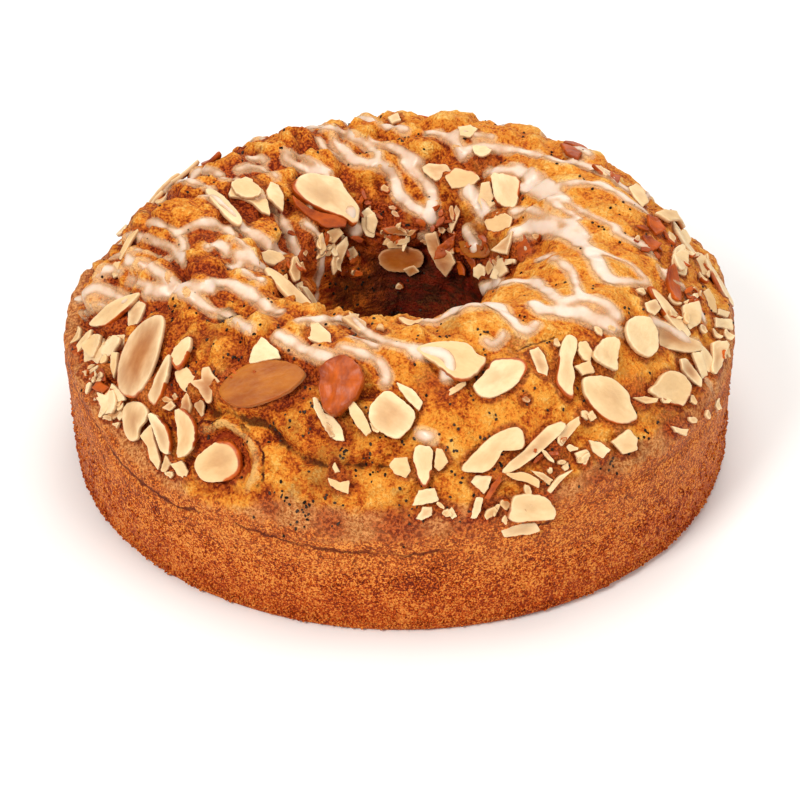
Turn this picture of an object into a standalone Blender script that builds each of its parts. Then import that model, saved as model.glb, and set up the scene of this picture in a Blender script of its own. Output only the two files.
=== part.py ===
# Almond pudding cake: a solid baked ring with a lumpy crown, sliced almonds on it
# and thick strands of icing. Metres, +Z up, resting on z = 0, hole on the Z axis.
import math
import random

import bmesh
import bpy
from mathutils import Matrix, Vector, noise
from mathutils.bvhtree import BVHTree

for old in list(bpy.data.objects):
    bpy.data.objects.remove(old, do_unlink=True)

# ---------------------------------------------------------------- driving sizes
BASE_RADIUS = 0.0957
WALL_RADIUS = 0.0968
CROWN_RADIUS = 0.0998
CROWN_ROOT = 0.0169
CROWN_FOOT = 0.0310
CREST_RADIUS = 0.0600
CREST_HEIGHT = 0.0708
PAN_LINE = 0.0262
HOLE_RADIUS = 0.0243
HOLE_RIM = 0.0390
OUTER_POWER = 1.70
INNER_POWER = 2.0
RING_STEPS = 84
REAR_RISE = 0.02

LUMP_SIZE = 0.0155
CREASE_DEPTH = 0.0040
SWELL = 0.0028

SLICE_THICK = 0.0014
CHUNK_THICK = 0.0026
CLEARANCE = 0.00035
HEADROOM = 0.0060
STRAND_RADIUS = 0.0024
STRAND_SINK = 0.0012
STRAND_STEP = 0.0085
STRAND_JUMP = 0.0110
MOST_SLICES = 50
CAKE_TRIANGLES = 11400

# the photograph's viewpoint, which turns picture positions into places on the crust
VIEW_ELEVATION = math.radians(34.5)
VIEW_DISTANCE = 0.80
VIEW_TARGET = Vector((0.0, 0.0, 0.0105))
VIEW_FOCAL = 2686.0
VIEW_CENTRE = 400.0

CRUST = (0.60, 0.28, 0.09, 1.0)
ALMOND = (0.82, 0.66, 0.42, 1.0)

rng = random.Random(4107)

# ---------------------------------------------------------------- set-up
cake_parts = bpy.data.collections.new("almond_pudding_cake")
joining = bpy.data.collections.new("joined_toppings")
cutters = bpy.data.collections.new("cutters")
for group in (cake_parts, joining, cutters):
    bpy.context.scene.collection.children.link(group)


def material(name, colour, roughness):
    mat = bpy.data.materials.new(name)
    mat.use_nodes = True
    shader = mat.node_tree.nodes["Principled BSDF"]
    shader.inputs["Base Color"].default_value = colour
    shader.inputs["Roughness"].default_value = roughness
    shader.inputs["Metallic"].default_value = 0.0
    mat.diffuse_color = colour
    return mat


crust_mat = material("crust", CRUST, 0.75)
almond_mat = material("almond", ALMOND, 0.55)


def smooth(x, low, high):
    t = min(1.0, max(0.0, (x - low) / (high - low)))
    return t * t * (3.0 - 2.0 * t)


def made_mesh(obj, name):
    # the object's evaluated shape as a plain mesh object
    depsgraph = bpy.context.evaluated_depsgraph_get()
    depsgraph.update()
    mesh = bpy.data.meshes.new_from_object(obj.evaluated_get(depsgraph))
    mesh.name = name
    bpy.data.objects.remove(obj, do_unlink=True)
    return mesh


def drift(co, scale):
    # a smooth sideways wander, from three readings of the same noise
    q = co * scale
    return Vector((noise.noise(q + Vector((3.1, 0.0, 0.0))), noise.noise(q + Vector((0.0, 7.7, 0.0))),
                   noise.noise(q + Vector((0.0, 0.0, 5.3)))))


def weld(mesh, distance=1e-6):
    bm = bmesh.new()
    bm.from_mesh(mesh)
    bmesh.ops.remove_doubles(bm, verts=bm.verts[:], dist=distance)
    bmesh.ops.recalc_face_normals(bm, faces=bm.faces[:])
    bm.to_mesh(mesh)
    bm.free()
    return mesh


# ---------------------------------------------------------------- the ring's section
def section():
    # crest, down the outer side, in along the base and up the hole
    points = []
    outer_steps = 9
    rise = CREST_HEIGHT - CROWN_ROOT
    foot = math.asin(((CROWN_FOOT - CROWN_ROOT) / rise) ** (OUTER_POWER / 2))
    for i in range(outer_steps + 1):
        t = math.pi / 2 + (foot - math.pi / 2) * i / outer_steps
        points.append((CREST_RADIUS + (CROWN_RADIUS - CREST_RADIUS) * math.cos(t) ** (2 / OUTER_POWER),
                       CROWN_ROOT + rise * math.sin(t) ** (2 / OUTER_POWER)))
    points += [(points[-1][0] - 0.0003, PAN_LINE + 0.0016), (WALL_RADIUS, PAN_LINE),
               (WALL_RADIUS + 0.0006, PAN_LINE - 0.0020), (WALL_RADIUS, 0.0160),
               (BASE_RADIUS + 0.0008, 0.0090), (BASE_RADIUS + 0.0005, 0.0040),
               (BASE_RADIUS, 0.0010), (BASE_RADIUS - 0.0010, 0.0)]
    points += [(0.0700, 0.0), (0.0460, 0.0), (HOLE_RADIUS + 0.0022, 0.0)]
    points += [(HOLE_RADIUS + 0.0007, 0.0016), (HOLE_RADIUS + 0.0004, 0.0100),
               (HOLE_RADIUS, 0.0200), (HOLE_RADIUS - 0.0003, 0.0300)]
    inner_steps = 7
    for i in range(inner_steps):
        t = math.pi / 2 * i / inner_steps
        points.append((CREST_RADIUS - (CREST_RADIUS - HOLE_RADIUS - 0.0006) * math.cos(t) ** (2 / INNER_POWER),
                       HOLE_RIM + (CREST_HEIGHT - HOLE_RIM) * math.sin(t) ** (2 / INNER_POWER)))
    return points


def ring():
    points = section()
    mesh = bpy.data.meshes.new("section")
    edges = [(i, (i + 1) % len(points)) for i in range(len(points))]
    mesh.from_pydata([(r, 0.0, z) for r, z in points], edges, [])
    obj = bpy.data.objects.new("section", mesh)
    cake_parts.objects.link(obj)
    screw = obj.modifiers.new("turn", "SCREW")
    screw.axis = "Z"
    screw.angle = 2 * math.pi
    screw.steps = RING_STEPS
    screw.render_steps = RING_STEPS
    screw.use_merge_vertices = True
    screw.merge_threshold = 0.0001
    return weld(made_mesh(obj, "cake"))


# ---------------------------------------------------------------- seeing from the photograph
back = Vector((0.0, -math.cos(VIEW_ELEVATION), math.sin(VIEW_ELEVATION)))
up = Vector((0.0, math.sin(VIEW_ELEVATION), math.cos(VIEW_ELEVATION)))
right = Vector((1.0, 0.0, 0.0))
eye = VIEW_TARGET + back * VIEW_DISTANCE


def sight(u, v):
    return (right * (u - VIEW_CENTRE) + up * (VIEW_CENTRE - v) - back * VIEW_FOCAL).normalized()


def tree_of(mesh):
    bm = bmesh.new()
    bm.from_mesh(mesh)
    tree = BVHTree.FromBMesh(bm)
    bm.free()
    return tree


def seen(tree, u, v):
    place, normal, _, _ = tree.ray_cast(eye, sight(u, v))
    return place, normal


# ---------------------------------------------------------------- crust relief
PAN_LINE_SEEN = [(95, 420), (120, 465), (160, 500), (230, 524), (300, 546), (400, 558), (470, 549),
                 (540, 528), (600, 495), (650, 470), (700, 430), (720, 395)]
# ring-shaped lips: centre in the picture, radius, height of the lip, depth of the dish, metres
LIPS = [((224, 466), 0.0120, 0.0030, 0.0020)]
# round lumps and pits: centre in the picture, radius, height
MOUNDS = [((205, 266), 0.0080, 0.0045), ((228, 303), 0.0070, -0.0050), ((566, 262), 0.0080, 0.0028),
          ((597, 298), 0.0075, 0.0028), ((500, 292), 0.0070, 0.0030), ((352, 340), 0.0080, 0.0020),
          ((455, 395), 0.0150, 0.0016), ((300, 500), 0.0150, 0.0016), ((160, 215), 0.0075, 0.0024),
          ((95, 300), 0.0100, 0.0040), ((690, 300), 0.0100, 0.0018), ((420, 150), 0.0090, 0.0020),
          ((620, 180), 0.0090, 0.0020), ((300, 140), 0.0090, 0.0022), ((540, 420), 0.0120, 0.0014)]
# open splits in the crust, as lines in the picture, with their depth
SPLITS = [([(196, 408), (230, 410), (262, 420), (285, 442), (306, 458), (345, 466), (392, 461)], 0.0036),
          ([(150, 245), (172, 262), (198, 290)], 0.0022),
          ([(470, 330), (520, 345), (560, 330)], 0.0016)]


def line_height(tree):
    # bearing and height of the pan line, front half from the picture
    knots = []
    for u, v in PAN_LINE_SEEN:
        place, _ = seen(tree, u, v)
        if place is not None:
            knots.append((math.atan2(place.y, place.x) % (2 * math.pi), place.z))
    knots.sort()
    return knots


def pan_shift(bearing, knots):
    # how far the pan line stands above or below its usual height
    bearing %= 2 * math.pi
    first, last = knots[0], knots[-1]
    if bearing <= first[0] or bearing >= last[0]:
        span = first[0] + 2 * math.pi - last[0]
        t = ((bearing - last[0]) % (2 * math.pi)) / span
        return (last[1] * (1 - t) + first[1] * t + 0.0012 * math.sin(5 * t * math.pi)) - PAN_LINE
    for (b0, z0), (b1, z1) in zip(knots, knots[1:]):
        if b0 <= bearing <= b1:
            t = (bearing - b0) / max(1e-9, b1 - b0)
            return z0 * (1 - t) + z1 * t - PAN_LINE
    return 0.0


def features(tree):
    lips = []
    for (u, v), radius, height, dish in LIPS:
        place, _ = seen(tree, u, v)
        lips.append((place, radius, height, dish))
    mounds = []
    for (u, v), radius, height in MOUNDS:
        place, _ = seen(tree, u, v)
        if place is not None:
            mounds.append((place, radius, height))
    splits = []
    for line, depth in SPLITS:
        places = [seen(tree, u, v)[0] for u, v in line]
        splits.append(([p for p in places if p is not None], depth))
    return lips, mounds, splits


def to_line(point, line):
    best = 1.0
    for a, b in zip(line, line[1:]):
        along = b - a
        t = max(0.0, min(1.0, (point - a).dot(along) / along.length_squared))
        best = min(best, (point - a - along * t).length)
    return best


def relief(co, shapes):
    # height of the crust above the turned section, metres
    radius = math.hypot(co.x, co.y)
    outer = smooth(radius, 0.050, 0.070)
    crown = smooth(co.z, 0.0300 - 0.0010 * outer, 0.0450 - 0.0060 * outer)
    warped = co / LUMP_SIZE + 0.60 * drift(co, 42.0)
    distances, _ = noise.voronoi(warped)
    crease = 1.0 - smooth(distances[1] - distances[0], 0.0, 0.42)
    # the front and the right have the shallower creases
    calm = smooth(0.35 * co.x - 0.9 * co.y, -0.010, 0.050)
    height = crown * ((1.0 - 0.30 * calm) * SWELL * noise.noise(co * 36.0)
                      - (1.0 - 0.55 * calm) * CREASE_DEPTH * crease
                      + 0.0014 * noise.noise(co * 90.0) + 0.0010)
    wall = (1.0 - crown) * smooth(co.z, 0.0, 0.008)
    height += wall * (0.0007 * noise.noise(co * 38.0) + 0.0003 * noise.noise(co * 110.0))
    lips, mounds, splits = shapes
    for place, ring_radius, lip, dish in lips:
        away = (co - place).length
        height += lip * math.exp(-((away - ring_radius) / 0.0026) ** 2)
        height -= dish * math.exp(-(away / (0.75 * ring_radius)) ** 4)
    for place, size, rise in mounds:
        height += rise * math.exp(-((co - place).length / size) ** 2)
    for line, depth in splits:
        height -= depth * math.exp(-(to_line(co, line) / 0.0024) ** 2)
    return height


def shaped(mesh, shapes, knots):
    bm = bmesh.new()
    bm.from_mesh(mesh)
    bm.normal_update()
    moves = []
    for vert in bm.verts:
        co = vert.co.copy()
        normal = vert.normal.copy()
        free = smooth(co.z, 0.0, 0.0030)
        bearing = math.atan2(co.y, co.x)
        radius = math.hypot(co.x, co.y)
        outer = smooth(radius, 0.080, 0.090)
        near_line = outer * smooth(co.z, 0.008, 0.022) * (1.0 - smooth(co.z, 0.030, 0.052))
        lift = near_line * pan_shift(bearing, knots)
        rear = REAR_RISE * math.sin(bearing) * smooth(co.z, 0.02, 0.06) * co.z
        moved = co + normal * (relief(co, shapes) * free)
        moved.z += lift + rear
        moves.append(moved)
    for vert, moved in zip(bm.verts, moves):
        vert.co = moved
    bmesh.ops.triangulate(bm, faces=bm.faces[:])
    bm.normal_update()
    bm.to_mesh(mesh)
    bm.free()


plain = ring()
plain_tree = tree_of(plain)
knots = line_height(plain_tree)
shapes = features(plain_tree)
cake_mesh = plain.copy()
cake_mesh.name = "cake"
shaped(cake_mesh, shapes, knots)
cake_tree = tree_of(cake_mesh)
cake = bpy.data.objects.new("cake", cake_mesh)
cake_parts.objects.link(cake)
cake_mesh.materials.append(crust_mat)

# ---------------------------------------------------------------- almond slices
# each slice's corners in the picture, in order round it, then (thickness, lift, turn to the viewer)
FLAT = (SLICE_THICK, 0.0006, 0.0)
SLICES = [
    ([(162, 314), (165, 322), (162, 341), (157, 362), (149, 381), (138, 396), (129, 399), (120, 392),
      (118, 379), (120, 362), (126, 344), (137, 327), (149, 318)], (SLICE_THICK, 0.0020, 0.15)),
    ([(218, 392), (222, 399), (235, 407), (252, 407), (272, 400), (290, 392), (302, 380), (306, 374),
      (301, 367), (285, 361), (266, 360), (247, 365), (230, 376), (221, 385)], (0.0018, 0.0012, 0.0)),
    ([(290, 187), (297, 178), (307, 173), (321, 175), (340, 179), (343, 189), (352, 199), (361, 210),
      (356, 228), (346, 220), (330, 214), (313, 208), (300, 199)], (CHUNK_THICK, 0.0030, 0.25)),
    ([(338, 354), (349, 357), (358, 364), (365, 377), (364, 387), (356, 400), (345, 410), (332, 416),
      (323, 410), (319, 394), (320, 376), (317, 369), (326, 364)], (0.0034, 0.0016, 0.0)),
    ([(387, 389), (400, 398), (414, 410), (416, 417), (411, 428), (398, 441), (383, 434), (370, 425),
      (368, 410), (374, 401)], (SLICE_THICK, 0.0014, 0.1)),
    ([(194, 464), (198, 456), (208, 448), (219, 441), (231, 441), (239, 450), (242, 464), (239, 475),
      (228, 481), (207, 483), (198, 476)], (0.0018, 0.0004, 0.1)),
    ([(414, 346), (433, 342), (467, 342), (478, 356), (488, 357), (484, 366), (471, 379), (461, 381),
      (453, 379), (438, 366), (423, 355)], (SLICE_THICK, 0.0018, 0.0)),
    ([(491, 360), (507, 358), (522, 360), (528, 368), (520, 382), (508, 391), (492, 399), (479, 398),
      (471, 388), (474, 384), (486, 372)], (SLICE_THICK, 0.0006, 0.0)),
    ([(581, 386), (583, 377), (598, 375), (615, 380), (629, 394), (629, 403), (638, 419), (627, 425),
      (612, 424), (598, 415), (587, 403)], (0.0016, 0.0010, 0.1)),
    ([(458, 471), (474, 453), (489, 438), (505, 429), (519, 426), (525, 434), (525, 449), (510, 451),
      (502, 449), (497, 461), (488, 472), (476, 473)], (SLICE_THICK, 0.0008, 0.0)),
    ([(501, 474), (517, 455), (536, 441), (553, 427), (566, 423), (556, 437), (540, 453), (522, 464)],
     (SLICE_THICK, 0.0004, 0.0)),
    ([(512, 496), (526, 493), (549, 497), (557, 518), (537, 521), (512, 523), (506, 516), (511, 506)],
     (SLICE_THICK, 0.0014, 0.0)),
    ([(566, 334), (577, 337), (577, 348), (571, 364), (575, 377), (572, 389), (574, 401), (564, 396),
      (554, 383), (558, 366), (560, 348)], (SLICE_THICK, 0.0010, 0.1)),
    ([(604, 338), (614, 340), (618, 347), (616, 360), (617, 372), (606, 369), (590, 360), (594, 349)],
     (0.0018, 0.0008, 0.0)),
    ([(624, 328), (630, 318), (645, 317), (655, 330), (658, 345), (655, 355), (645, 358), (633, 350),
      (627, 340)], (0.0016, 0.0014, 0.0)),
    ([(624, 375), (635, 368), (647, 361), (658, 362), (659, 376), (645, 380), (633, 379)],
     (0.0020, 0.0008, 0.0)),
    ([(645, 391), (656, 383), (661, 374), (671, 371), (681, 375), (690, 387), (683, 407), (672, 405),
      (655, 397)], (0.0018, 0.0010, 0.0)),
    ([(684, 358), (693, 366), (703, 382), (699, 389), (691, 381), (684, 368)], FLAT),
    ([(721, 372), (728, 387), (725, 394), (708, 401), (707, 394), (715, 385)], (SLICE_THICK, 0.0008, 0.3)),
    ([(711, 341), (726, 342), (724, 357), (719, 368), (712, 376), (707, 372), (713, 355)],
     (SLICE_THICK, 0.0010, 0.3)),
    ([(125, 405), (134, 401), (144, 403), (150, 412), (147, 421), (139, 429), (139, 440), (131, 442),
      (125, 433), (123, 419)], (SLICE_THICK, 0.0006, 0.1)),
    ([(152, 411), (162, 418), (170, 430), (174, 447), (171, 456), (161, 449), (157, 437), (153, 424)],
     (0.0016, 0.0010, 0.1)),
    ([(176, 410), (186, 408), (195, 420), (198, 436), (193, 452), (182, 459), (179, 452), (180, 438),
      (178, 424)], (0.0016, 0.0010, 0.0)),
    ([(192, 336), (192, 346), (188, 358), (180, 371), (174, 367), (172, 357), (176, 348), (183, 341)],
     (0.0018, 0.0012, 0.0)),
    ([(170, 353), (171, 363), (169, 377), (163, 395), (155, 407), (147, 400), (154, 386), (161, 369),
      (166, 358)], (0.0018, 0.0002, 0.0)),
    ([(141, 291), (135, 300), (123, 313), (108, 326), (98, 327), (87, 325), (92, 320), (108, 306),
      (126, 297)], (SLICE_THICK, 0.0014, 0.2)),
    ([(142, 299), (139, 313), (134, 325), (129, 331), (128, 324), (133, 311), (138, 303)], FLAT),
    ([(116, 336), (123, 338), (120, 346), (112, 357), (106, 357), (102, 352), (108, 341)], FLAT),
    ([(84, 345), (93, 334), (104, 335), (103, 342), (98, 351), (93, 359), (86, 352)],
     (SLICE_THICK, 0.0008, 0.2)),
    ([(84, 372), (93, 365), (109, 363), (111, 370), (98, 375)], (0.0018, 0.0006, 0.1)),
    ([(97, 397), (105, 395), (114, 386), (120, 402), (117, 412), (102, 415), (101, 403)],
     (SLICE_THICK, 0.0008, 0.1)),
    ([(259, 337), (271, 345), (281, 355), (272, 357), (259, 358), (247, 363), (249, 354), (254, 343)],
     (SLICE_THICK, 0.0008, 0.1)),
    ([(312, 400), (317, 408), (322, 418), (336, 421), (342, 427), (345, 440), (336, 442), (327, 434),
      (318, 422)], (SLICE_THICK, 0.0004, 0.0)),
    ([(353, 408), (363, 404), (364, 412), (365, 424), (371, 436), (367, 438), (359, 433), (354, 420)],
     FLAT),
    ([(415, 445), (433, 446), (432, 467), (429, 482), (424, 489), (417, 478), (412, 459)], FLAT),
    ([(229, 186), (238, 180), (252, 183), (260, 189), (260, 198), (251, 200), (238, 196)],
     (SLICE_THICK, 0.0012, 0.2)),
    ([(264, 184), (272, 183), (282, 196), (288, 208), (283, 214), (272, 204)],
     (SLICE_THICK, 0.0010, 0.2)),
    ([(204, 188), (212, 188), (228, 202), (243, 219), (241, 226), (228, 219), (212, 203)], FLAT),
    ([(265, 266), (274, 270), (291, 285), (307, 300), (320, 314), (315, 319), (300, 310), (281, 291),
      (268, 277)], (SLICE_THICK, 0.0012, 0.2)),
    ([(492, 175), (507, 176), (521, 178), (519, 195), (517, 210), (508, 210), (500, 206), (494, 196)],
     (0.0018, 0.0012, 0.35)),
    ([(485, 222), (494, 216), (503, 213), (515, 220), (511, 228), (503, 234), (492, 231)],
     (0.0018, 0.0012, 0.5)),
    ([(442, 181), (452, 173), (471, 178), (470, 184), (458, 188), (447, 187)], (0.0018, 0.0010, 0.2)),
    ([(378, 252), (392, 247), (410, 246), (424, 252), (424, 264), (410, 271), (392, 272), (380, 265)],
     (SLICE_THICK, 0.0008, 0.4)),
    ([(437, 237), (446, 234), (454, 244), (453, 256), (444, 262), (437, 252)], (SLICE_THICK, 0.0008, 0.3)),
    ([(646, 287), (652, 287), (672, 309), (690, 334), (687, 340), (668, 320)], FLAT),
    ([(688, 250), (702, 248), (712, 262), (708, 276), (694, 276), (687, 264)], (SLICE_THICK, 0.0010, 0.3)),
    ([(674, 248), (681, 246), (684, 258), (684, 270), (677, 273), (673, 260)], FLAT),
    ([(666, 268), (672, 266), (679, 284), (680, 302), (673, 303), (667, 286)], FLAT),
]
# smaller bits that are joined to the crust: centre in the picture, length, width, turn in degrees
BITS = [((185, 381), 24, 17, 40), ((207, 386), 32, 14, 75), ((200, 406), 20, 9, 70), ((116, 365), 22, 6, 95),
        ((155, 451), 36, 10, 60), ((184, 470), 18, 12, 60), ((166, 464), 17, 8, 75), ((398, 467), 20, 18, 10),
        ((336, 468), 11, 7, 80), ((340, 485), 21, 13, 15), ((411, 325), 26, 9, 5), ((354, 323), 24, 12, 25),
        ((455, 389), 26, 7, -35), ((410, 396), 34, 12, 45), ((538, 364), 32, 14, 68), ((584, 369), 18, 13, 15),
        ((568, 431), 34, 13, -52), ((583, 455), 16, 10, 0), ((599, 449), 24, 12, 35), ((624, 442), 24, 20, 60),
        ((645, 400), 25, 7, 5), ((682, 430), 16, 8, 15), ((441, 459), 23, 12, 75), ((482, 484), 20, 18, 30),
        ((493, 487), 30, 7, -60), ((521, 479), 35, 8, 15), ((541, 477), 24, 8, 30), ((559, 481), 34, 7, -50),
        ((519, 529), 40, 12, -12), ((476, 507), 22, 10, -75), ((425, 497), 24, 15, -10), ((424, 514), 17, 11, -35),
        ((452, 512), 12, 8, 50), ((272, 258), 27, 13, 20), ((293, 266), 25, 8, 80), ((369, 224), 25, 12, 70),
        ((333, 246), 30, 14, 75), ((345, 262), 32, 11, 65), ((481, 266), 20, 12, 70), ((504, 247), 25, 16, 60),
        ((498, 270), 24, 18, 25), ((525, 243), 28, 13, 65), ((458, 210), 34, 9, -70), ((474, 205), 28, 13, -80),
        ((500, 375), 10, 8, 0), ((600, 167), 18, 8, 25), ((612, 174), 16, 7, 30), ((637, 193), 28, 12, 55),
        ((668, 218), 24, 16, 35), ((696, 312), 28, 16, 60), ((704, 300), 22, 10, 75), ((719, 322), 18, 14, 60),
        ((652, 305), 16, 12, 10), ((700, 364), 28, 9, 70), ((575, 148), 36, 12, 15), ((482, 153), 20, 12, 20),
        ((99, 350), 20, 12, -40), ((80, 338), 22, 8, -50), ((108, 384), 16, 10, 20), ((146, 341), 10, 6, 0)]
# thick icing strands, as lines in the picture
STRANDS = [
    [(173, 180), (199, 184)], [(199, 168), (238, 181)], [(246, 167), (276, 174)],
    [(204, 191), (224, 206), (242, 220), (246, 233), (266, 241), (281, 254)],
    [(184, 234), (204, 219), (227, 227), (246, 245), (267, 266)],
    [(152, 220), (166, 227), (182, 237), (184, 251), (183, 261)],
    [(128, 261), (148, 264), (162, 272), (172, 280), (190, 285), (218, 283), (241, 288), (253, 297),
     (269, 303), (286, 314)],
    [(145, 293), (166, 290), (187, 296), (210, 311)],
    [(267, 210), (286, 230), (295, 251), (301, 271)],
    [(278, 334), (301, 346), (327, 356)], [(351, 348), (374, 357), (384, 371), (379, 382)],
    [(299, 319), (319, 320), (345, 318), (355, 325), (370, 336), (389, 343)],
    [(457, 310), (485, 322), (502, 333), (482, 347)], [(480, 291), (513, 282), (538, 291), (536, 313)],
    [(552, 313), (581, 316), (609, 327)], [(519, 235), (538, 226), (566, 235), (592, 257), (606, 274)],
    [(513, 212), (544, 218), (578, 226)], [(581, 218), (609, 229), (637, 246), (662, 263)],
    [(600, 251), (623, 263), (648, 277)], [(513, 167), (541, 184), (564, 198)],
    [(508, 148), (538, 156), (566, 165)], [(569, 184), (603, 181), (631, 198), (648, 212)],
    [(336, 114), (370, 120), (407, 131), (446, 136)], [(306, 128), (336, 128), (364, 142), (381, 156)],
    [(336, 142), (353, 162), (387, 167), (395, 193), (421, 212)], [(404, 162), (423, 179), (435, 198)],
    [(75, 300), (100, 290), (120, 300)],
]
DROPS = [((428, 436), 0.0034), ((378, 344), 0.0030), ((356, 234), 0.0030), ((440, 262), 0.0034)]


def smooth_normal(place):
    return plain_tree.find_nearest(place)[1]


def frame_on(normal, along):
    # matrix columns: along the piece, across it, out of the crust
    out = normal.normalized()
    x = (along - out * along.dot(out)).normalized()
    y = out.cross(x)
    return Matrix((x, y, out)).transposed()


def area(points):
    total = 0.0
    for (x0, y0), (x1, y1) in zip(points, points[1:] + points[:1]):
        total += x0 * y1 - x1 * y0
    return total / 2


def grown(points, gap):
    # the outline with every side moved out by the gap
    sign = 1.0 if area(points) > 0 else -1.0
    count = len(points)
    result = []
    for i in range(count):
        before, here, after = (Vector(points[(i + k) % count]) for k in (-1, 0, 1))
        a = (here - before).normalized()
        b = (after - here).normalized()
        na = Vector((a.y, -a.x)) * sign
        nb = Vector((b.y, -b.x)) * sign
        mid = na + nb
        if mid.length < 0.3:
            mid = na
        mid.normalize()
        reach = gap / max(0.45, mid.dot(na))
        result.append(tuple(here + mid * reach))
    return result


def plate(name, outline, thickness, place, turn, group):
    # a flat outline made thick, then put in its place
    curve = bpy.data.curves.new(name, "CURVE")
    curve.dimensions = "2D"
    curve.fill_mode = "BOTH"
    curve.extrude = thickness / 2
    spline = curve.splines.new("POLY")
    spline.points.add(len(outline) - 1)
    for point, (x, y) in zip(spline.points, outline):
        point.co = (x, y, 0.0, 1.0)
    spline.use_cyclic_u = True
    obj = bpy.data.objects.new(name, curve)
    group.objects.link(obj)
    mesh = weld(made_mesh(obj, name))
    mesh.transform(turn.to_4x4())
    mesh.transform(Matrix.Translation(place))
    mesh.update()
    obj = bpy.data.objects.new(name, mesh)
    group.objects.link(obj)
    return obj


def slice_from_view(corners, thickness, lift, facing):
    hits = []
    for u, v in corners + [(sum(c[0] for c in corners) / len(corners), sum(c[1] for c in corners) / len(corners))]:
        place, _ = seen(cake_tree, u, v)
        if place is not None:
            hits.append(place)
    if len(hits) < 3:
        return None
    centre = sum(hits, Vector()) / len(hits)
    normal = sum((smooth_normal(p) for p in hits), Vector()).normalized()
    normal = (normal + facing * (eye - centre).normalized()).normalized()
    centre += normal * (lift + thickness * 0.35)
    on_plane = []
    for u, v in corners:
        ray = sight(u, v)
        slope = ray.dot(normal)
        if abs(slope) < 0.12:
            return None
        on_plane.append(eye + ray * ((centre - eye).dot(normal) / slope))
    longest = max(((a - b) for a in on_plane for b in on_plane), key=lambda d: d.length)
    turn = frame_on(normal, longest)
    middle = sum(on_plane, Vector()) / len(on_plane)
    inverse = turn.transposed()
    outline = [tuple((inverse @ (p - middle)).xy) for p in on_plane]
    if area(outline) < 0:
        outline.reverse()
    return outline, thickness, middle, turn, longest.length


def almond_outline(length, width, kind):
    points = []
    count = 11
    for i in range(count):
        t = 2 * math.pi * (i + 0.5) / count
        x, y = math.cos(t), math.sin(t)
        if kind == "half" and x < -0.35:
            x = -0.35 - 0.08 * rng.random()
        taper = 1.0 - 0.30 * x
        points.append((x * length / 2, y * width / 2 * taper * (1 + 0.05 * (rng.random() - 0.5))))
    return points


def slice_by_rule(bearing, level, length, width, turned, kind):
    # a slice on the far side, found by a line from outside the ring towards its crest
    start = Vector((0.16 * math.cos(bearing), 0.16 * math.sin(bearing), level + 0.060))
    goal = Vector((0.070 * math.cos(bearing), 0.070 * math.sin(bearing), level))
    place, _, _, _ = cake_tree.ray_cast(start, (goal - start).normalized())
    if place is None:
        return None
    normal = smooth_normal(place)
    sideways = Vector((-math.sin(bearing), math.cos(bearing), 0.0))
    turn = frame_on(normal, sideways) @ Matrix.Rotation(turned, 3, "Z")
    return almond_outline(length, width, kind), SLICE_THICK, place + normal * 0.0010, turn, length


found = []
for corners, (thickness, lift, facing) in SLICES:
    made = slice_from_view(corners, thickness, lift, facing)
    if made is not None:
        found.append(made)
for i in range(16):
    bearing = math.radians(6 + 10.2 * i + rng.uniform(-4, 4))
    level = rng.uniform(0.030, 0.046)
    made = slice_by_rule(bearing, level, rng.uniform(0.011, 0.019), rng.uniform(0.006, 0.010),
                         rng.uniform(0, math.pi), rng.choice(("whole", "whole", "half")))
    if made is not None:
        found.append(made)

# the largest go first; one that would touch another is lifted a little, else left out
found.sort(key=lambda item: -abs(area(item[0])))
kept = []
for outline, thickness, place, turn, length in found:
    if len(kept) == MOST_SLICES:
        break
    for step in range(4):
        spot = place + turn.col[2] * (0.0009 * step)
        trial = plate("trial", grown(outline, 0.0004), thickness + 0.0007, spot, turn, cutters)
        trial_tree = tree_of(trial.data)
        bpy.data.objects.remove(trial, do_unlink=True)
        if not any(trial_tree.overlap(other[4]) for other in kept):
            solid = plate("almond_slice_%02d" % (len(kept) + 1), outline, thickness, spot, turn, cake_parts)
            solid.data.materials.append(almond_mat)
            kept.append((outline, thickness, spot, turn, tree_of(solid.data)))
            break
print("almond slices:", len(kept), "of", len(found))


# ---------------------------------------------------------------- toppings joined to the crust
def bit_from_view(index, centre, length, width, degrees):
    place, _ = seen(cake_tree, *centre)
    if place is None:
        return
    normal = smooth_normal(place)
    normal = (normal + 0.25 * (eye - place).normalized()).normalized()
    scale = (place - eye).length / VIEW_FOCAL
    angle = math.radians(degrees)
    along = right * math.cos(angle) - up * math.sin(angle)
    turn = frame_on(normal, along)
    outline = []
    sides = 6
    for k in range(sides):
        t = 2 * math.pi * (k + 0.5) / sides
        outline.append((math.cos(t) * length * scale * 0.55 * rng.uniform(0.85, 1.1),
                        math.sin(t) * width * scale * 0.60 * rng.uniform(0.85, 1.1)))
    plate("bit_%02d" % index, outline, 0.0016, place + normal * 0.0003, turn, joining)


def resampled(points, step):
    result = [points[0]]
    left = step
    for a, b in zip(points, points[1:]):
        span = (b - a).length
        gone = 0.0
        while span - gone > left:
            gone += left
            result.append(a.lerp(b, gone / span))
            left = step
        left -= span - gone
    if (result[-1] - points[-1]).length > step * 0.35:
        result.append(points[-1])
    return result


def tube(name, points, radii, group):
    curve = bpy.data.curves.new(name, "CURVE")
    curve.dimensions = "3D"
    curve.bevel_depth = 1.0
    curve.bevel_resolution = 1
    curve.use_fill_caps = True
    spline = curve.splines.new("POLY")
    spline.points.add(len(points) - 1)
    for point, place, radius in zip(spline.points, points, radii):
        point.co = (*place, 1.0)
        point.radius = radius
    obj = bpy.data.objects.new(name, curve)
    group.objects.link(obj)
    mesh = weld(made_mesh(obj, name))
    obj = bpy.data.objects.new(name, mesh)
    group.objects.link(obj)
    return obj


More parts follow.
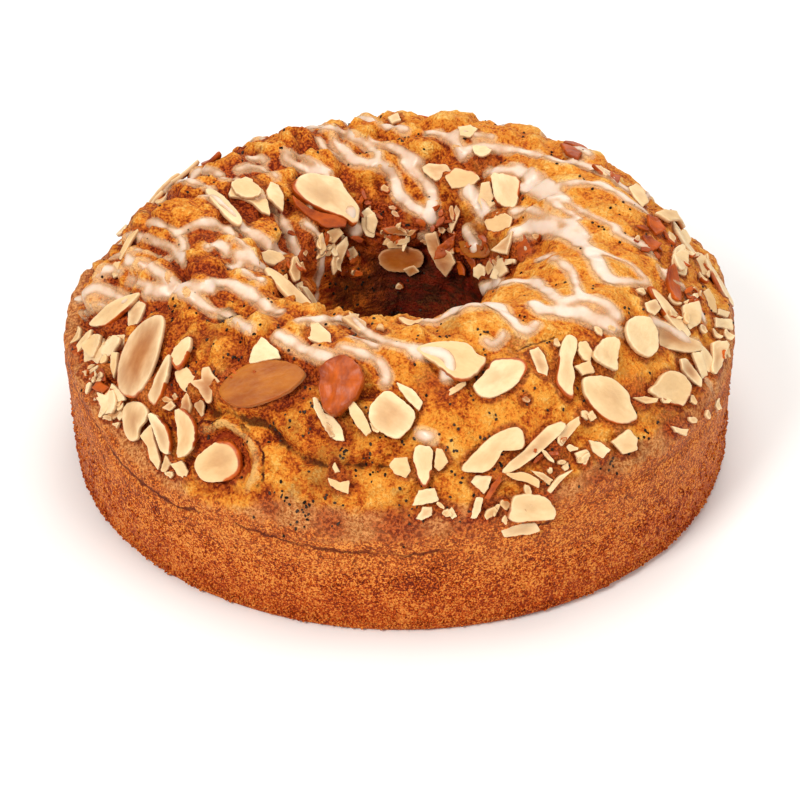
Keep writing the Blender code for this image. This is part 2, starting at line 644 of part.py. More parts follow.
def strand_from_view(index, line):
    dense = []
    for (u0, v0), (u1, v1) in zip(line, line[1:]):
        for k in range(6):
            dense.append((u0 + (u1 - u0) * k / 6, v0 + (v1 - v0) * k / 6))
    dense.append(line[-1])
    places = [seen(cake_tree, u, v)[0] for u, v in dense]
    runs = [[]]
    for place in places:
        if place is None or (runs[-1] and (place - runs[-1][-1]).length > STRAND_JUMP):
            runs.append([])
        if place is not None:
            runs[-1].append(place)
    for part, run in enumerate(runs):
        if len(run) < 2:
            continue
        points = resampled(run, STRAND_STEP)
        if len(points) < 2:
            continue
        sunk = [p - smooth_normal(p) * STRAND_SINK for p in points]
        radii = [STRAND_RADIUS * rng.uniform(0.85, 1.2) for _ in sunk]
        radii[0] *= 0.75
        radii[-1] *= 0.75
        tube("strand_%02d_%d" % (index, part), sunk, radii, joining)


for index, (centre, length, width, degrees) in enumerate(BITS):
    bit_from_view(index, centre, length, width, degrees)
for index, line in enumerate(STRANDS):
    strand_from_view(index, line)
for index, (centre, radius) in enumerate(DROPS):
    place, _ = seen(cake_tree, *centre)
    if place is not None:
        normal = smooth_normal(place)
        tube("drop_%02d" % index, [place - normal * 0.002, place + normal * 0.0014],
             [radius, radius * 0.7], joining)
# the far side, which the photograph doesn't show, carries the same mix
far_rng = random.Random(911)
for index in range(26):
    bearing = math.radians(far_rng.uniform(8, 172))
    level = far_rng.uniform(0.036, 0.056)
    made = slice_by_rule(bearing, level, far_rng.uniform(0.006, 0.012), far_rng.uniform(0.003, 0.006),
                         far_rng.uniform(0, math.pi), "whole")
    if made is not None:
        outline, thickness, place, turn, _ = made
        plate("far_bit_%02d" % index, outline[::2], 0.0016, place - turn.col[2] * 0.0006, turn, joining)
for index in range(9):
    bearing = math.radians(18 + 17 * index + far_rng.uniform(-5, 5))
    points = []
    for k in range(5):
        level = 0.064 - 0.0045 * k
        side = bearing + 0.045 * k
        start = Vector((0.16 * math.cos(side), 0.16 * math.sin(side), level + 0.060))
        goal = Vector((0.070 * math.cos(side), 0.070 * math.sin(side), level))
        place, _, _, _ = cake_tree.ray_cast(start, (goal - start).normalized())
        if place is not None:
            points.append(place - smooth_normal(place) * STRAND_SINK)
    if len(points) > 1:
        tube("far_strand_%02d" % index, points, [STRAND_RADIUS * rng.uniform(0.8, 1.1) for _ in points], joining)


# ---------------------------------------------------------------- joining and cutting
def apply_boolean(obj, operation, group):
    step = obj.modifiers.new(operation.lower(), "BOOLEAN")
    step.operation = operation
    step.operand_type = "COLLECTION"
    step.collection = group
    step.solver = "EXACT"
    step.use_self = operation == "UNION"
    depsgraph = bpy.context.evaluated_depsgraph_get()
    depsgraph.update()
    mesh = bpy.data.meshes.new_from_object(obj.evaluated_get(depsgraph))
    obj.modifiers.remove(step)
    old = obj.data
    obj.data = mesh
    bpy.data.meshes.remove(old)
    for item in list(group.objects):
        bpy.data.objects.remove(item, do_unlink=True)


def islands(bm):
    seen_verts = set()
    groups = []
    for vert in bm.verts:
        if vert in seen_verts:
            continue
        stack, group = [vert], []
        seen_verts.add(vert)
        while stack:
            current = stack.pop()
            group.append(current)
            for edge in current.link_edges:
                other = edge.other_vert(current)
                if other not in seen_verts:
                    seen_verts.add(other)
                    stack.append(other)
        groups.append(group)
    return groups


def tidy(obj):
    # merges slivers, drops loose scrap and fills sealed hollows
    bm = bmesh.new()
    bm.from_mesh(obj.data)
    bmesh.ops.remove_doubles(bm, verts=bm.verts[:], dist=1e-6)
    bmesh.ops.dissolve_degenerate(bm, edges=bm.edges[:], dist=1e-6)
    bmesh.ops.triangulate(bm, faces=bm.faces[:])
    bmesh.ops.delete(bm, geom=[edge for edge in bm.edges if not edge.link_faces], context="EDGES")
    bmesh.ops.delete(bm, geom=[vert for vert in bm.verts if not vert.link_faces], context="VERTS")
    groups = sorted(islands(bm), key=len, reverse=True)
    for group in groups[1:]:
        bmesh.ops.delete(bm, geom=group, context="VERTS")
    bmesh.ops.recalc_face_normals(bm, faces=bm.faces[:])
    bm.to_mesh(obj.data)
    open_edges = sum(1 for edge in bm.edges if len(edge.link_faces) != 2)
    print(obj.name, "triangles", len(bm.faces), "pieces dropped", len(groups) - 1, "open edges", open_edges)
    bm.free()


def thin_out(obj, most):
    # takes out the short edges that the joins leave, down to a number of triangles
    step = obj.modifiers.new("thin_out", "DECIMATE")
    step.decimate_type = "COLLAPSE"
    step.ratio = min(1.0, most / len(obj.data.polygons))
    depsgraph = bpy.context.evaluated_depsgraph_get()
    depsgraph.update()
    mesh = bpy.data.meshes.new_from_object(obj.evaluated_get(depsgraph))
    obj.modifiers.remove(step)
    obj.data = mesh


apply_boolean(cake, "UNION", joining)
for index, (outline, thickness, place, turn, _) in enumerate(kept):
    # room for each slice, open upwards so that no crust closes over it
    height = thickness + CLEARANCE + HEADROOM
    middle = place + turn.col[2] * (height / 2 - thickness / 2 - CLEARANCE)
    plate("room_%02d" % index, grown(outline, CLEARANCE), height, middle, turn, cutters)
apply_boolean(cake, "DIFFERENCE", cutters)
tidy(cake)
thin_out(cake, CAKE_TRIANGLES)
tidy(cake)
cake.data.materials.clear()
cake.data.materials.append(crust_mat)
for group in (joining, cutters):
    bpy.data.collections.remove(group)
total = sum(len(o.data.loop_triangles) or len(o.data.polygons) for o in cake_parts.objects)
print("nodes", len(cake_parts.objects), "faces", total)
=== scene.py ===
import math
import random

import bmesh
import bpy
import numpy as np
from mathutils import Matrix, Vector, noise
from mathutils.bvhtree import BVHTree


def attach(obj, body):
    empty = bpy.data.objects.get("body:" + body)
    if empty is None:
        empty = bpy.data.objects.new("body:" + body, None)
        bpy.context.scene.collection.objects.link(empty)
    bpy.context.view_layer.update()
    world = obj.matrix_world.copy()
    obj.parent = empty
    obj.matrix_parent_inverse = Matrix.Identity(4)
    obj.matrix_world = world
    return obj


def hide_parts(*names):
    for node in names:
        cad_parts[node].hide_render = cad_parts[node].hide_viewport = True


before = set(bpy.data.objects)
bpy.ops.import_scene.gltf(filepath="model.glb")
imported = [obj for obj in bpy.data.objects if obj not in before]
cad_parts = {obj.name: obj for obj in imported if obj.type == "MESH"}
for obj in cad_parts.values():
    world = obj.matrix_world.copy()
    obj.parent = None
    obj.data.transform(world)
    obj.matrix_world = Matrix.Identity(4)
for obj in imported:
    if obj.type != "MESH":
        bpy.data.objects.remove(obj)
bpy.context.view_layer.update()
print("frame loaded,", len(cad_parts), "nodes")

# the place the cake is seen from; picture positions below are pixels of an 800 x 800 view
viewPoint = dict(elevation=34.5, distance=0.80, targetHeight=0.0105, focal=2686.0, centre=400.0)

tilt = math.radians(viewPoint["elevation"])
viewBack = Vector((0.0, -math.cos(tilt), math.sin(tilt)))
viewUp = Vector((0.0, math.sin(tilt), math.cos(tilt)))
viewRight = Vector((1.0, 0.0, 0.0))
eye = Vector((0.0, 0.0, viewPoint["targetHeight"])) + viewBack * viewPoint["distance"]


def sight(u, v):
    # the direction from the eye through a picture position
    centre = viewPoint["centre"]
    return (viewRight * (u - centre) + viewUp * (centre - v) - viewBack * viewPoint["focal"]).normalized()


def pictureSpot(place):
    offset = place - eye
    scale = viewPoint["focal"] / -offset.dot(viewBack)
    centre = viewPoint["centre"]
    return centre + offset.dot(viewRight) * scale, centre - offset.dot(viewUp) * scale


def seen(tree, u, v):
    # the place on a mesh that a picture position shows, or None
    return tree.ray_cast(eye, sight(u, v))[0]


def eased(x, low, high):
    # 0 below low, 1 above high and a soft step between
    t = np.clip((np.asarray(x, float) - low) / (high - low), 0.0, 1.0)
    return t * t * (3.0 - 2.0 * t)


def noiseAt(points, scale, shift=0.0):
    # smooth noise, about -1 to 1, read at each row of an array of places
    return np.array([noise.noise(Vector((x, y, z))) for x, y, z in points * scale + shift])


def noises(points, scale, shifts):
    # three such noises side by side, as a vector for each place
    return np.stack([noiseAt(points, scale, shift) for shift in shifts], axis=1)


def borderGap(places):
    # how far each place is from the borders of a pattern of uneven cells, 0 at a border
    cells = [noise.voronoi(Vector(place))[0][:2] for place in places]
    return np.array([second - first for first, second in cells])


def treeOf(*meshes):
    bm = bmesh.new()
    for mesh in meshes:
        bm.from_mesh(mesh)
    tree = BVHTree.FromBMesh(bm)
    bm.free()
    return tree


def meshFrom(name, places, faces, smooth=False):
    mesh = bpy.data.meshes.new(name)
    mesh.from_pydata([tuple(p) for p in places], [], [tuple(f) for f in faces])
    mesh.update()
    if smooth:
        mesh.shade_smooth()
    return mesh


def plainObject(name, mesh):
    obj = bpy.data.objects.new(name, mesh)
    bpy.context.scene.collection.objects.link(obj)
    return obj


def setAttribute(mesh, name, values):
    layer = mesh.attributes.new(name, "FLOAT", "POINT")
    layer.data.foreach_set("value", np.asarray(values, np.float32))


def lineDistance(places, line, normals=None, slant=0.9):
    # distance to a line; where normals are given, height above or below it hardly counts
    best = np.full(len(places), 1.0)
    for a, b in zip(line, line[1:]):
        start, step = np.array(a), np.array(b - a)
        t = np.clip((places - start) @ step / (step @ step), 0, 1)
        gap = places - start - t[:, None] * step
        squared = np.sum(gap * gap, axis=1)
        if normals is not None:
            squared = np.maximum(0.0, squared - slant * np.sum(gap * normals, axis=1) ** 2)
        best = np.minimum(best, np.sqrt(squared))
    return best


def nearLine(places, line, reach):
    # which places lie in the box round a line, widened by a reach
    low, high = np.min(line, axis=0) - reach, np.max(line, axis=0) + reach
    return np.all((places > low) & (places < high), axis=1)


def turnOn(normal, way):
    # a turn whose z is a normal and whose x follows a way along the surface
    x = (way - normal * way.dot(normal)).normalized()
    return Matrix((x, normal.cross(x), normal)).transposed()


# the baked ring's section: radii and heights, how square its shoulders are, and how finely it is cut
ring = dict(baseRadius=0.0957, wallRadius=0.0968, crownRadius=0.0998, crownRoot=0.0169, crownFoot=0.0310,
            crestRadius=0.0600, crestHeight=0.0708, panLine=0.0262, holeRadius=0.0243, holeRim=0.0390,
            holeFlare=0.0006, outerPower=1.70, innerPower=2.0, rearRise=0.02, steps=600, outerRows=58,
            innerRows=40, wallStep=0.0012, holeStep=0.0022)
# lumps and the creases between them, then knobs, crumbs, cracks and grains on the lumps
crags = dict(lumpSize=0.0155, lumpWarp=0.60, creaseDepth=0.0040, swell=0.0028, ripple=0.0014, rise=0.0010,
             knobSize=0.0092, knobRise=0.0020, crumbSize=0.0036, crumbRise=0.0006, tornDepth=0.0009,
             grain=0.00030, grit=0.00026, layers=0.0011)
ringLip = dict(centre=(220, 464), radius=0.0112, height=0.0030, dish=0.0014, width=0.0014)
panLineSeen = [(95, 420), (120, 465), (160, 500), (230, 524), (300, 546), (400, 558), (470, 549),
               (540, 528), (600, 495), (650, 470), (700, 430), (720, 395)]
# single humps: picture position, size and rise, or depth where it is below zero
mounds = [
    ((205, 266), 0.008, 0.0045), ((228, 303), 0.007, -0.005), ((566, 262), 0.008, 0.0028), ((597, 298),
    0.0075, 0.0028), ((500, 292), 0.007, 0.003), ((472, 318), 0.0075, 0.0036), ((352, 340), 0.008, 0.002),
    ((455, 395), 0.015, 0.0016), ((300, 500), 0.015, 0.0016), ((160, 215), 0.0075, 0.0024), ((95, 300),
    0.01, 0.004), ((690, 300), 0.01, 0.0018), ((420, 150), 0.009, 0.002), ((620, 180), 0.009, 0.002),
    ((300, 140), 0.009, 0.0022), ((540, 420), 0.012, 0.0014)]
# splits in the crust, as lines in the picture with their depth
splits = [([(196, 408), (230, 410), (262, 420), (285, 442), (306, 458), (345, 466), (392, 461)], 0.0036),
          ([(150, 245), (172, 262), (198, 290)], 0.0022),
          ([(470, 330), (520, 345), (560, 330)], 0.0016)]


def along(points, spacing):
    # a line of (radius, height) points with evenly spaced points between them
    result = [points[0]]
    for a, b in zip(points, points[1:]):
        count = max(1, round(math.hypot(b[0] - a[0], b[1] - a[1]) / spacing))
        for k in range(1, count + 1):
            result.append((a[0] + (b[0] - a[0]) * k / count, a[1] + (b[1] - a[1]) * k / count))
    return result


def shoulder(t, corner, reach, power):
    # radius and height of a point on a rounded quarter, from level with its corner up to the crest
    radius = corner[0] + reach[0] * math.cos(t) ** (2 / power)
    return radius, corner[1] + reach[1] * math.sin(t) ** (2 / power)


def ringSection():
    # crest, down the outer side, in along the base and up the hole
    r = ring
    rise = r["crestHeight"] - r["crownRoot"]
    crest, hole, base, wall, pan = (r[key] for key in ("crestRadius", "holeRadius", "baseRadius",
                                                       "wallRadius", "panLine"))
    lowest = math.asin(((r["crownFoot"] - r["crownRoot"]) / rise) ** (r["outerPower"] / 2))
    reach = (r["crownRadius"] - crest, rise)
    points = []
    for i in range(r["outerRows"] + 1):
        t = math.pi / 2 + (lowest - math.pi / 2) * i / r["outerRows"]
        points.append(shoulder(t, (crest, r["crownRoot"]), reach, r["outerPower"]))
    foot = points[-1]
    outside = [foot, (foot[0] - 0.0003, pan + 0.0016), (wall, pan), (wall + 0.0006, pan - 0.0020),
               (wall, 0.0160), (base + 0.0008, 0.0090), (base + 0.0005, 0.0040), (base, 0.0010),
               (base - 0.0010, 0.0)]
    inside = [(hole + 0.0022, 0.0), (hole + 0.0007, 0.0016), (hole + 0.0004, 0.0100), (hole, 0.0200),
              (hole - 0.0003, 0.0300), (hole + 0.0004, r["holeRim"] - 0.003)]
    points += along(outside, r["wallStep"])[1:]
    points += [(0.0700, 0.0), (0.0460, 0.0), inside[0]]
    points += along(inside, r["holeStep"])[1:]
    reach = (hole + r["holeFlare"] - crest, r["crestHeight"] - r["holeRim"])
    for i in range(r["innerRows"]):
        t = math.pi / 2 * i / r["innerRows"]
        points.append(shoulder(t, (crest, r["holeRim"]), reach, r["innerPower"]))
    return np.array(points)


def squareTo(tangent):
    # unit normals of a section line, from its tangents
    out = np.stack([-tangent[:, 1], tangent[:, 0]], axis=1)
    return out / np.linalg.norm(out, axis=1)[:, None]


def turned(line, count):
    # (radius, height) rows carried round the ring's axis
    angles = np.arange(count) * 2 * math.pi / count
    level = np.repeat(line[:, 1, None], count, axis=1)
    rows = [line[:, 0, None] * np.cos(angles), line[:, 0, None] * np.sin(angles), level]
    return np.stack(rows, axis=2).reshape(-1, 3)


def netCells(rows, columns):
    # the four corners of each cell of a net that closes on itself both ways
    i, j = np.meshgrid(np.arange(rows), np.arange(columns), indexing="ij")
    lower, beside = (i + 1) % rows, (j + 1) % columns
    corners = [i * columns + j, lower * columns + j, lower * columns + beside, i * columns + beside]
    return np.stack(corners, axis=2)


section = ringSection()
flatPlaces = turned(section, ring["steps"])
flatNormals = turned(squareTo(np.roll(section, -1, axis=0) - np.roll(section, 1, axis=0)), ring["steps"])
ringFaces = netCells(len(section), ring["steps"]).reshape(-1, 4)
flatTree = treeOf(meshFrom("flatRing", flatPlaces, ringFaces))
ringX, ringY, ringZ = flatPlaces.T
ringRadius = np.hypot(ringX, ringY)


def smoothNormal(place):
    return flatTree.find_nearest(place)[1]


def awayFrom(places, centre):
    return np.linalg.norm(places - np.array(centre), axis=1)


def panShift(bearings):
    # how far the pan line stands above or below its usual height, at each bearing
    spots = [spot for spot in (seen(flatTree, u, v) for u, v in panLineSeen) if spot is not None]
    knots = sorted((math.atan2(spot.y, spot.x) % (2 * math.pi), spot.z) for spot in spots)
    bearings = bearings % (2 * math.pi)
    first, last = knots[0], knots[-1]
    level = np.interp(bearings, [k[0] for k in knots], [k[1] for k in knots])
    span = first[0] + 2 * math.pi - last[0]
    t = ((bearings - last[0]) % (2 * math.pi)) / span
    rear = last[1] * (1 - t) + first[1] * t + 0.0012 * np.sin(5 * t * math.pi)
    outside = (bearings <= first[0]) | (bearings >= last[0])
    return np.where(outside, rear, level) - ring["panLine"]


def unevenGap(places, size, shift):
    # how far each place is from the wandering borders of cells of one size
    drift = noises(places, 0.9 / size, [shift + 7.3 * k for k in range(3)])
    return borderGap(places / size + 0.55 * drift)


def crownCrags():
    # the height of lumps, creases, knobs and grains, and the marks that their colours follow
    p = flatPlaces
    outer = eased(ringRadius, 0.050, 0.070)
    low = 0.0300 - 0.0010 * outer
    crown = eased((ringZ - low) / (0.0150 - 0.0050 * outer), 0.0, 1.0)
    # the crown is calmer at the front, and smoother on the right
    calm = eased(0.35 * ringX - 0.9 * ringY, -0.010, 0.050)
    rough = 1.0 - 0.62 * eased(ringX, 0.002, 0.040) * (1.0 - 0.5 * eased(ringY, 0.055, 0.085))
    rough *= 1.0 - 0.30 * eased(ringY, 0.030, 0.060)
    drift = noises(p, 42.0, np.diag([3.1, 7.7, 5.3]))
    crease = 1.0 - eased(borderGap(p / crags["lumpSize"] + crags["lumpWarp"] * drift), 0.0, 0.42)
    swell = noiseAt(p, 36.0)
    height = crown * ((1 - 0.30 * calm) * crags["swell"] * swell
                      - (1 - 0.55 * calm) * (0.30 + 0.70 * rough) * crags["creaseDepth"] * crease)
    height += crown * (crags["ripple"] * noiseAt(p, 90.0) + crags["rise"])
    knob = eased(unevenGap(p, crags["knobSize"], 1.7), 0.0, 0.50)
    crumb = eased(unevenGap(p, crags["crumbSize"], 4.4), 0.0, 0.60)
    height += crown * rough * (0.74 - 0.20 * calm) * crags["knobRise"] * (knob - 0.6)
    torn = np.clip(1.0 - 4.5 * np.abs(noiseAt(p, 105.0, 2.3)), 0, 1)
    torn = torn * eased(noiseAt(p, 30.0, 6.6), -0.1, 0.3)
    grain, grit = noiseAt(p, 420.0), noiseAt(p, 780.0, 3.3)
    fine = crown * (rough * (crags["crumbRise"] * (crumb - 0.6) - crags["tornDepth"] * torn)
                    + crags["grain"] * grain + crags["grit"] * grit)
    # the wall has a gentle swell, and its grain is strongest at its foot
    wall = (1.0 - crown) * eased(ringZ, 0.0, 0.0024)
    height += wall * (0.0007 * noiseAt(p, 38.0) + 0.0003 * noiseAt(p, 110.0))
    fine += wall * (0.00026 + 0.00022 * (1.0 - eased(ringZ, 0.002, 0.008))) * (grain + grit)
    throat = 1.0 - eased(ringRadius, 0.0280, 0.0380)
    layers = noiseAt(p * np.array([0.4, 0.4, 1.0]), 330.0, 4.1) + 0.6 * noiseAt(p, 260.0, 9.4)
    fine += throat * eased(ringZ, 0.002, 0.010) * (crags["layers"] * layers - 0.0006 * torn)
    # painted shade and light: creases, dents and torn places get a darkening mark, raised lumps a lightening
    # mark
    creaseShading = (0.70 - 0.40 * calm) * crease + 0.24 * (1 - knob) + 0.14 * (1 - crumb) + 0.4 * torn
    creaseShading *= 0.25 + 0.75 * rough
    lump = np.clip(0.45 * knob + 0.30 * crumb + 0.25 * (0.5 + swell), 0, 1)
    marks = dict(crown=crown, crease=np.clip(creaseShading, 0, 1) * crown, lump=lump, throat=throat)
    return height, fine, marks


def lipAndMounds(shaken, marks):
    # the lip round one slice, the single humps and the splits
    gap = shaken - np.array(seen(flatTree, *ringLip["centre"]))
    away = np.linalg.norm(gap, axis=1)
    upward = (gap @ np.array(viewUp) + 0.6 * gap @ np.array(viewRight)) / np.maximum(away, 1e-6)
    rim = np.exp(-((away - ringLip["radius"]) / ringLip["width"]) ** 2) * eased(upward, -0.55, 0.1)
    dish = np.exp(-(away / (0.75 * ringLip["radius"])) ** 4)
    height = ringLip["height"] * rim * (0.75 + 0.5 * noiseAt(flatPlaces, 200.0, 2.2))
    height -= ringLip["dish"] * dish
    # these marks place painted light and shade round the sunken slice's ridge and dish
    marks["ridge"] = np.clip((away - ringLip["radius"]) / 0.006, -1, 1)
    marks["ridgeSide"] = eased(upward, -0.60, 0.0) * (1.0 - eased(away, 0.016, 0.018))
    marks["dish"] = dish
    marks["ledge"] = eased(ringRadius, 0.085, 0.092) * eased(ringZ, 0.0262, 0.0290)
    marks["ledge"] *= (1.0 - eased(ringZ, 0.0340, 0.0460)) * (0.2 + 0.8 * eased(away, 0.012, 0.019))
    hollow = np.zeros(len(flatPlaces))
    for (u, v), size, rise in mounds:
        place = seen(flatTree, u, v)
        if place is not None:
            hump = np.exp(-(awayFrom(flatPlaces, place) / size) ** 2)
            height += rise * hump
            if rise < 0:
                hollow = np.maximum(hollow, eased(hump, 0.35, 0.8))
    nearest = np.full(len(flatPlaces), 0.006)
    for line, depth in splits:
        places = [seen(flatTree, u, v) for u, v in line]
        away = lineDistance(shaken, [place for place in places if place is not None])
        height -= 0.7 * depth * np.exp(-(away / 0.0014) ** 2)
        nearest = np.minimum(nearest, away * 0.0036 / depth)
    # painted shadow: the splits and sunken pits are darkened in the crust's colour
    marks["split"] = np.maximum(1.0 - nearest / 0.006, hollow)
    return height


def ringRelief():
    # the crust's height above the turned section, its finest part, its upward shift and its marks
    height, fine, marks = crownCrags()
    shaken = flatPlaces + 0.0016 * noises(flatPlaces, 170.0, (1.1, 5.2, 8.6))
    height = height + lipAndMounds(shaken, marks)
    bearing = np.arctan2(ringY, ringX)
    besideLine = eased(ringRadius, 0.080, 0.090) * eased(ringZ, 0.008, 0.022)
    besideLine = besideLine * (1.0 - eased(ringZ, 0.030, 0.052))
    rear = ring["rearRise"] * np.sin(bearing) * eased(ringZ, 0.02, 0.06) * ringZ
    marks["seam"] = np.where(ringRadius > 0.07, np.clip((ringZ - 0.0272) / 0.004, -1, 1), 1)
    marks["hole"] = (1.0 - eased(ringRadius, 0.0262, 0.0330)) * (1.0 - eased(ringZ, 0.040, 0.056))
    # the crust is painted darker on the left and left rear, less at the far rear
    marks["baked"] = eased(-ringX, -0.004, 0.040) * (0.65 + 0.55 * eased(ringY, -0.020, 0.045))
    marks["baked"] *= 1.0 - 0.6 * eased(ringY, 0.050, 0.080)
    return height, fine, besideLine * panShift(bearing) + rear, marks


def liftedRing(height):
    free = eased(ringZ, 0.0, 0.0012)
    moved = flatPlaces + flatNormals * (height * free)[:, None]
    moved[:, 2] += ringShift
    return moved


ringHeight, ringFine, ringShift, ringMarks = ringRelief()
softPlaces = liftedRing(ringHeight + 0.0002)
softMesh = meshFrom("softRing", softPlaces, ringFaces)
print("ring", len(ringFaces) * 2, "triangles")

# sliced almonds: a section from the edge in, as inset, share of half the thickness, rim (a brown side,
# partly skin and partly painted contact shadow) and skin, the rings that close the top, how bumpy a plain
# slice and the skin-on chunk are, and how near in pixels, and how far back, a slice takes one of the looks
# below
slabs = dict(section=((0.00040, -1.0, 1.0, 1.0), (0.0, -0.6, 1.0, 1.0), (0.0, 0.3, 0.5, 1.0),
                      (0.00005, 0.8, 0.0, 1.0), (0.00016, 0.96, 0.0, 0.9), (0.00060, 1.0, 0.0, 0.5)),
             cap=(0.84, 0.60, 0.36, 0.14), dents=(0.30, 130), crumpled=(0.75, 210), steps=56,
             within=14, farthest=0.05)
# what a slice looks like, by the picture position it lies at: toast, 0 pale to 1 caramel, how much
# brown skin its edge carries, 2 for skin all over, and on which side, in degrees in the picture
sliceLooks = {
    (140, 357): (0.55, 0.5, 200), (262, 384): (1.25, 0.35, 290), (326, 198): (0.22, 1.0, 235),
    (342, 386): (0.9, 2.0, 0), (392, 414): (0.32, 0.0, 0), (218, 464): (0.28, 0.9, 10),
    (453, 361): (0.1, 0.5, 290), (500, 380): (0.15, 0.8, 70), (609, 400): (0.18, 0.55, 250),
    (496, 450): (0.16, 0.5, 320), (136, 418): (0.35, 0.2, 60), (164, 433): (0.3, 0.7, 20),
    (187, 433): (0.3, 0.7, 20), (401, 260): (0.8, 0.3, 0), (673, 285): (0.6, 1.8, 0),
    (292, 292): (0.15, 0.8, 40), (113, 312): (0.18, 0.6, 300), (224, 206): (0.0, 0.0, 0),
    (247, 190): (0.0, 0.1, 0), (668, 388): (0.05, 0.6, 290), (162, 379): (0.35, 0.5, 270),
    (716, 359): (0.3, 0.3, 0)}


def slabOutline(node):
    # a CAD slice's outline, its middle and its turn, read from a merged copy of its mesh
    bm = bmesh.new()
    bm.from_mesh(node.data)
    bmesh.ops.remove_doubles(bm, verts=bm.verts[:], dist=1e-6)
    bm.normal_update()
    co = np.array([v.co for v in bm.verts])
    spread = np.linalg.svd(co - co.mean(axis=0))[2]
    flat = Vector(spread[2])
    place = Vector(co.mean(axis=0))
    if flat.dot(smoothNormal(place)) < 0:
        flat = -flat
    caps = [f for f in bm.faces if f.normal.dot(flat) > 0.95]
    rim = {}
    for face in caps:
        for loop in face.loops:
            if loop.link_loop_radial_next.face not in caps:
                rim[loop.vert] = loop.link_loop_next.vert
    start = next(iter(rim))
    ordered, here = [], start
    while True:
        ordered.append(here.co.copy())
        here = rim.get(here)
        if here is None or here == start or len(ordered) > 80:
            break
    heights = (co - np.array(place)) @ np.array(flat)
    turn = turnOn(flat, Vector(spread[0]))
    inverse = turn.transposed()
    outline = [tuple((inverse @ (p - place)).xy) for p in ordered]
    bm.free()
    return outline, place, turn, float(heights.max() - heights.min())


def roundedOutline(outline, rounds, steps):
    # corners cut a few times, then evenly spaced points
    points = np.array(outline)
    for _ in range(rounds):
        after = np.roll(points, -1, axis=0)
        cuts = [points * 0.78 + after * 0.22, points * 0.22 + after * 0.78]
        points = np.stack(cuts, axis=1).reshape(-1, 2)
    closed = np.vstack([points, points[:1]])
    lengths = np.concatenate([[0], np.cumsum(np.linalg.norm(np.diff(closed, axis=0), axis=1))])
    stops = np.arange(steps) * lengths[-1] / steps
    return np.stack([np.interp(stops, lengths, column) for column in closed.T], axis=1)


def flatNoise(x, y, scale, shake):
    return noise.noise(Vector((x * scale, y * scale, shake)))


class SlabMaker:
    # gathers many thin slabs into one mesh, with the numbers their colours follow
    def __init__(self):
        self.places, self.faces = [], []
        self.marks = {name: [] for name in ("rim", "heart", "toast", "skin", "tone", "grainX", "grainY")}

    def add(self, outline, place, turn, thickness, look, rng, steps, rounds=0, ragged=0.00026):
        edge = roundedOutline(outline, rounds, steps)
        middle = edge.mean(axis=0)
        size = max(np.ptp(edge[:, 0]), np.ptp(edge[:, 1]))
        shake = rng.uniform(0, 50)
        wobble = np.array([flatNoise(x, y, 700, shake) + 0.6 * flatNoise(x, y, 1900, shake)
                           for x, y in edge])
        away = edge - middle
        edge = edge + away / np.linalg.norm(away, axis=1)[:, None] * (wobble * ragged)[:, None]
        half = thickness / 2
        bare = look["skin"] <= 1.5  # above this the skin is on all over
        dents, dentScale = slabs["dents"] if bare or thickness <= 0.0016 else slabs["crumpled"]
        reach = float(np.linalg.norm(edge - middle, axis=1).mean())
        rings = [(1 - min(0.3, inset / reach), half * height, rim, peel)
                 for inset, height, rim, peel in slabs["section"]]
        rings += [(rings[-1][0] * share, half, 0.0, 0.0) for share in slabs["cap"]]
        curl = rng.uniform(-0.5, 0.9) * thickness
        angle = math.radians(look["side"])
        skinWay = np.array((turn.transposed() @ (viewRight * math.cos(angle) + viewUp * math.sin(angle))).xy)
        skinWay /= max(1e-6, np.linalg.norm(skinWay))
        base = len(self.places)
        for scale, height, rim, peel in rings:
            for x, y in edge:
                flat = middle + (np.array([x, y]) - middle) * scale
                way = (np.array([x, y]) - middle) / max(1e-9, math.hypot(x - middle[0], y - middle[1]))
                bend = curl * ((flat[0] - middle[0]) / size * 2) ** 2
                bump = 0.07 * thickness * flatNoise(flat[0], flat[1], 500, shake)
                bump += dents * thickness * flatNoise(flat[0], flat[1], dentScale, shake)
                self.places.append(place + turn @ Vector((flat[0], flat[1], height + bend + bump)))
                sided = min(1.0, max(0.0, float(way @ skinWay) * 2.2 + 0.2))
                self.marks["rim"].append(rim)
                self.marks["heart"].append(1.0 - min(1.0, scale) ** 2)
                self.marks["skin"].append(look["skin"] * sided * peel if bare else 1.0)
                self.marks["toast"].append(look["toast"])
                self.marks["tone"].append(look["tone"])
                self.marks["grainX"].append(flat[0] + shake)
                self.marks["grainY"].append(flat[1] + shake)
        for k in range(len(rings) - 1):
            for j in range(steps):
                a, b = base + k * steps + j, base + k * steps + (j + 1) % steps
                self.faces.append((a, b, b + steps, a + steps))
        self.faces.append(tuple(base + j for j in reversed(range(steps))))
        self.faces.append(tuple(base + (len(rings) - 1) * steps + j for j in range(steps)))

    def asObject(self, name):
        mesh = meshFrom(name, self.places, self.faces, smooth=True)
        for key, values in self.marks.items():
            setAttribute(mesh, key, values)
        return plainObject(name, mesh)


def anticlockwise(outline):
    total = 0.0
    for (x0, y0), (x1, y1) in zip(outline, outline[1:] + outline[:1]):
        total += x0 * y1 - x1 * y0
    return outline if total >= 0 else outline[::-1]


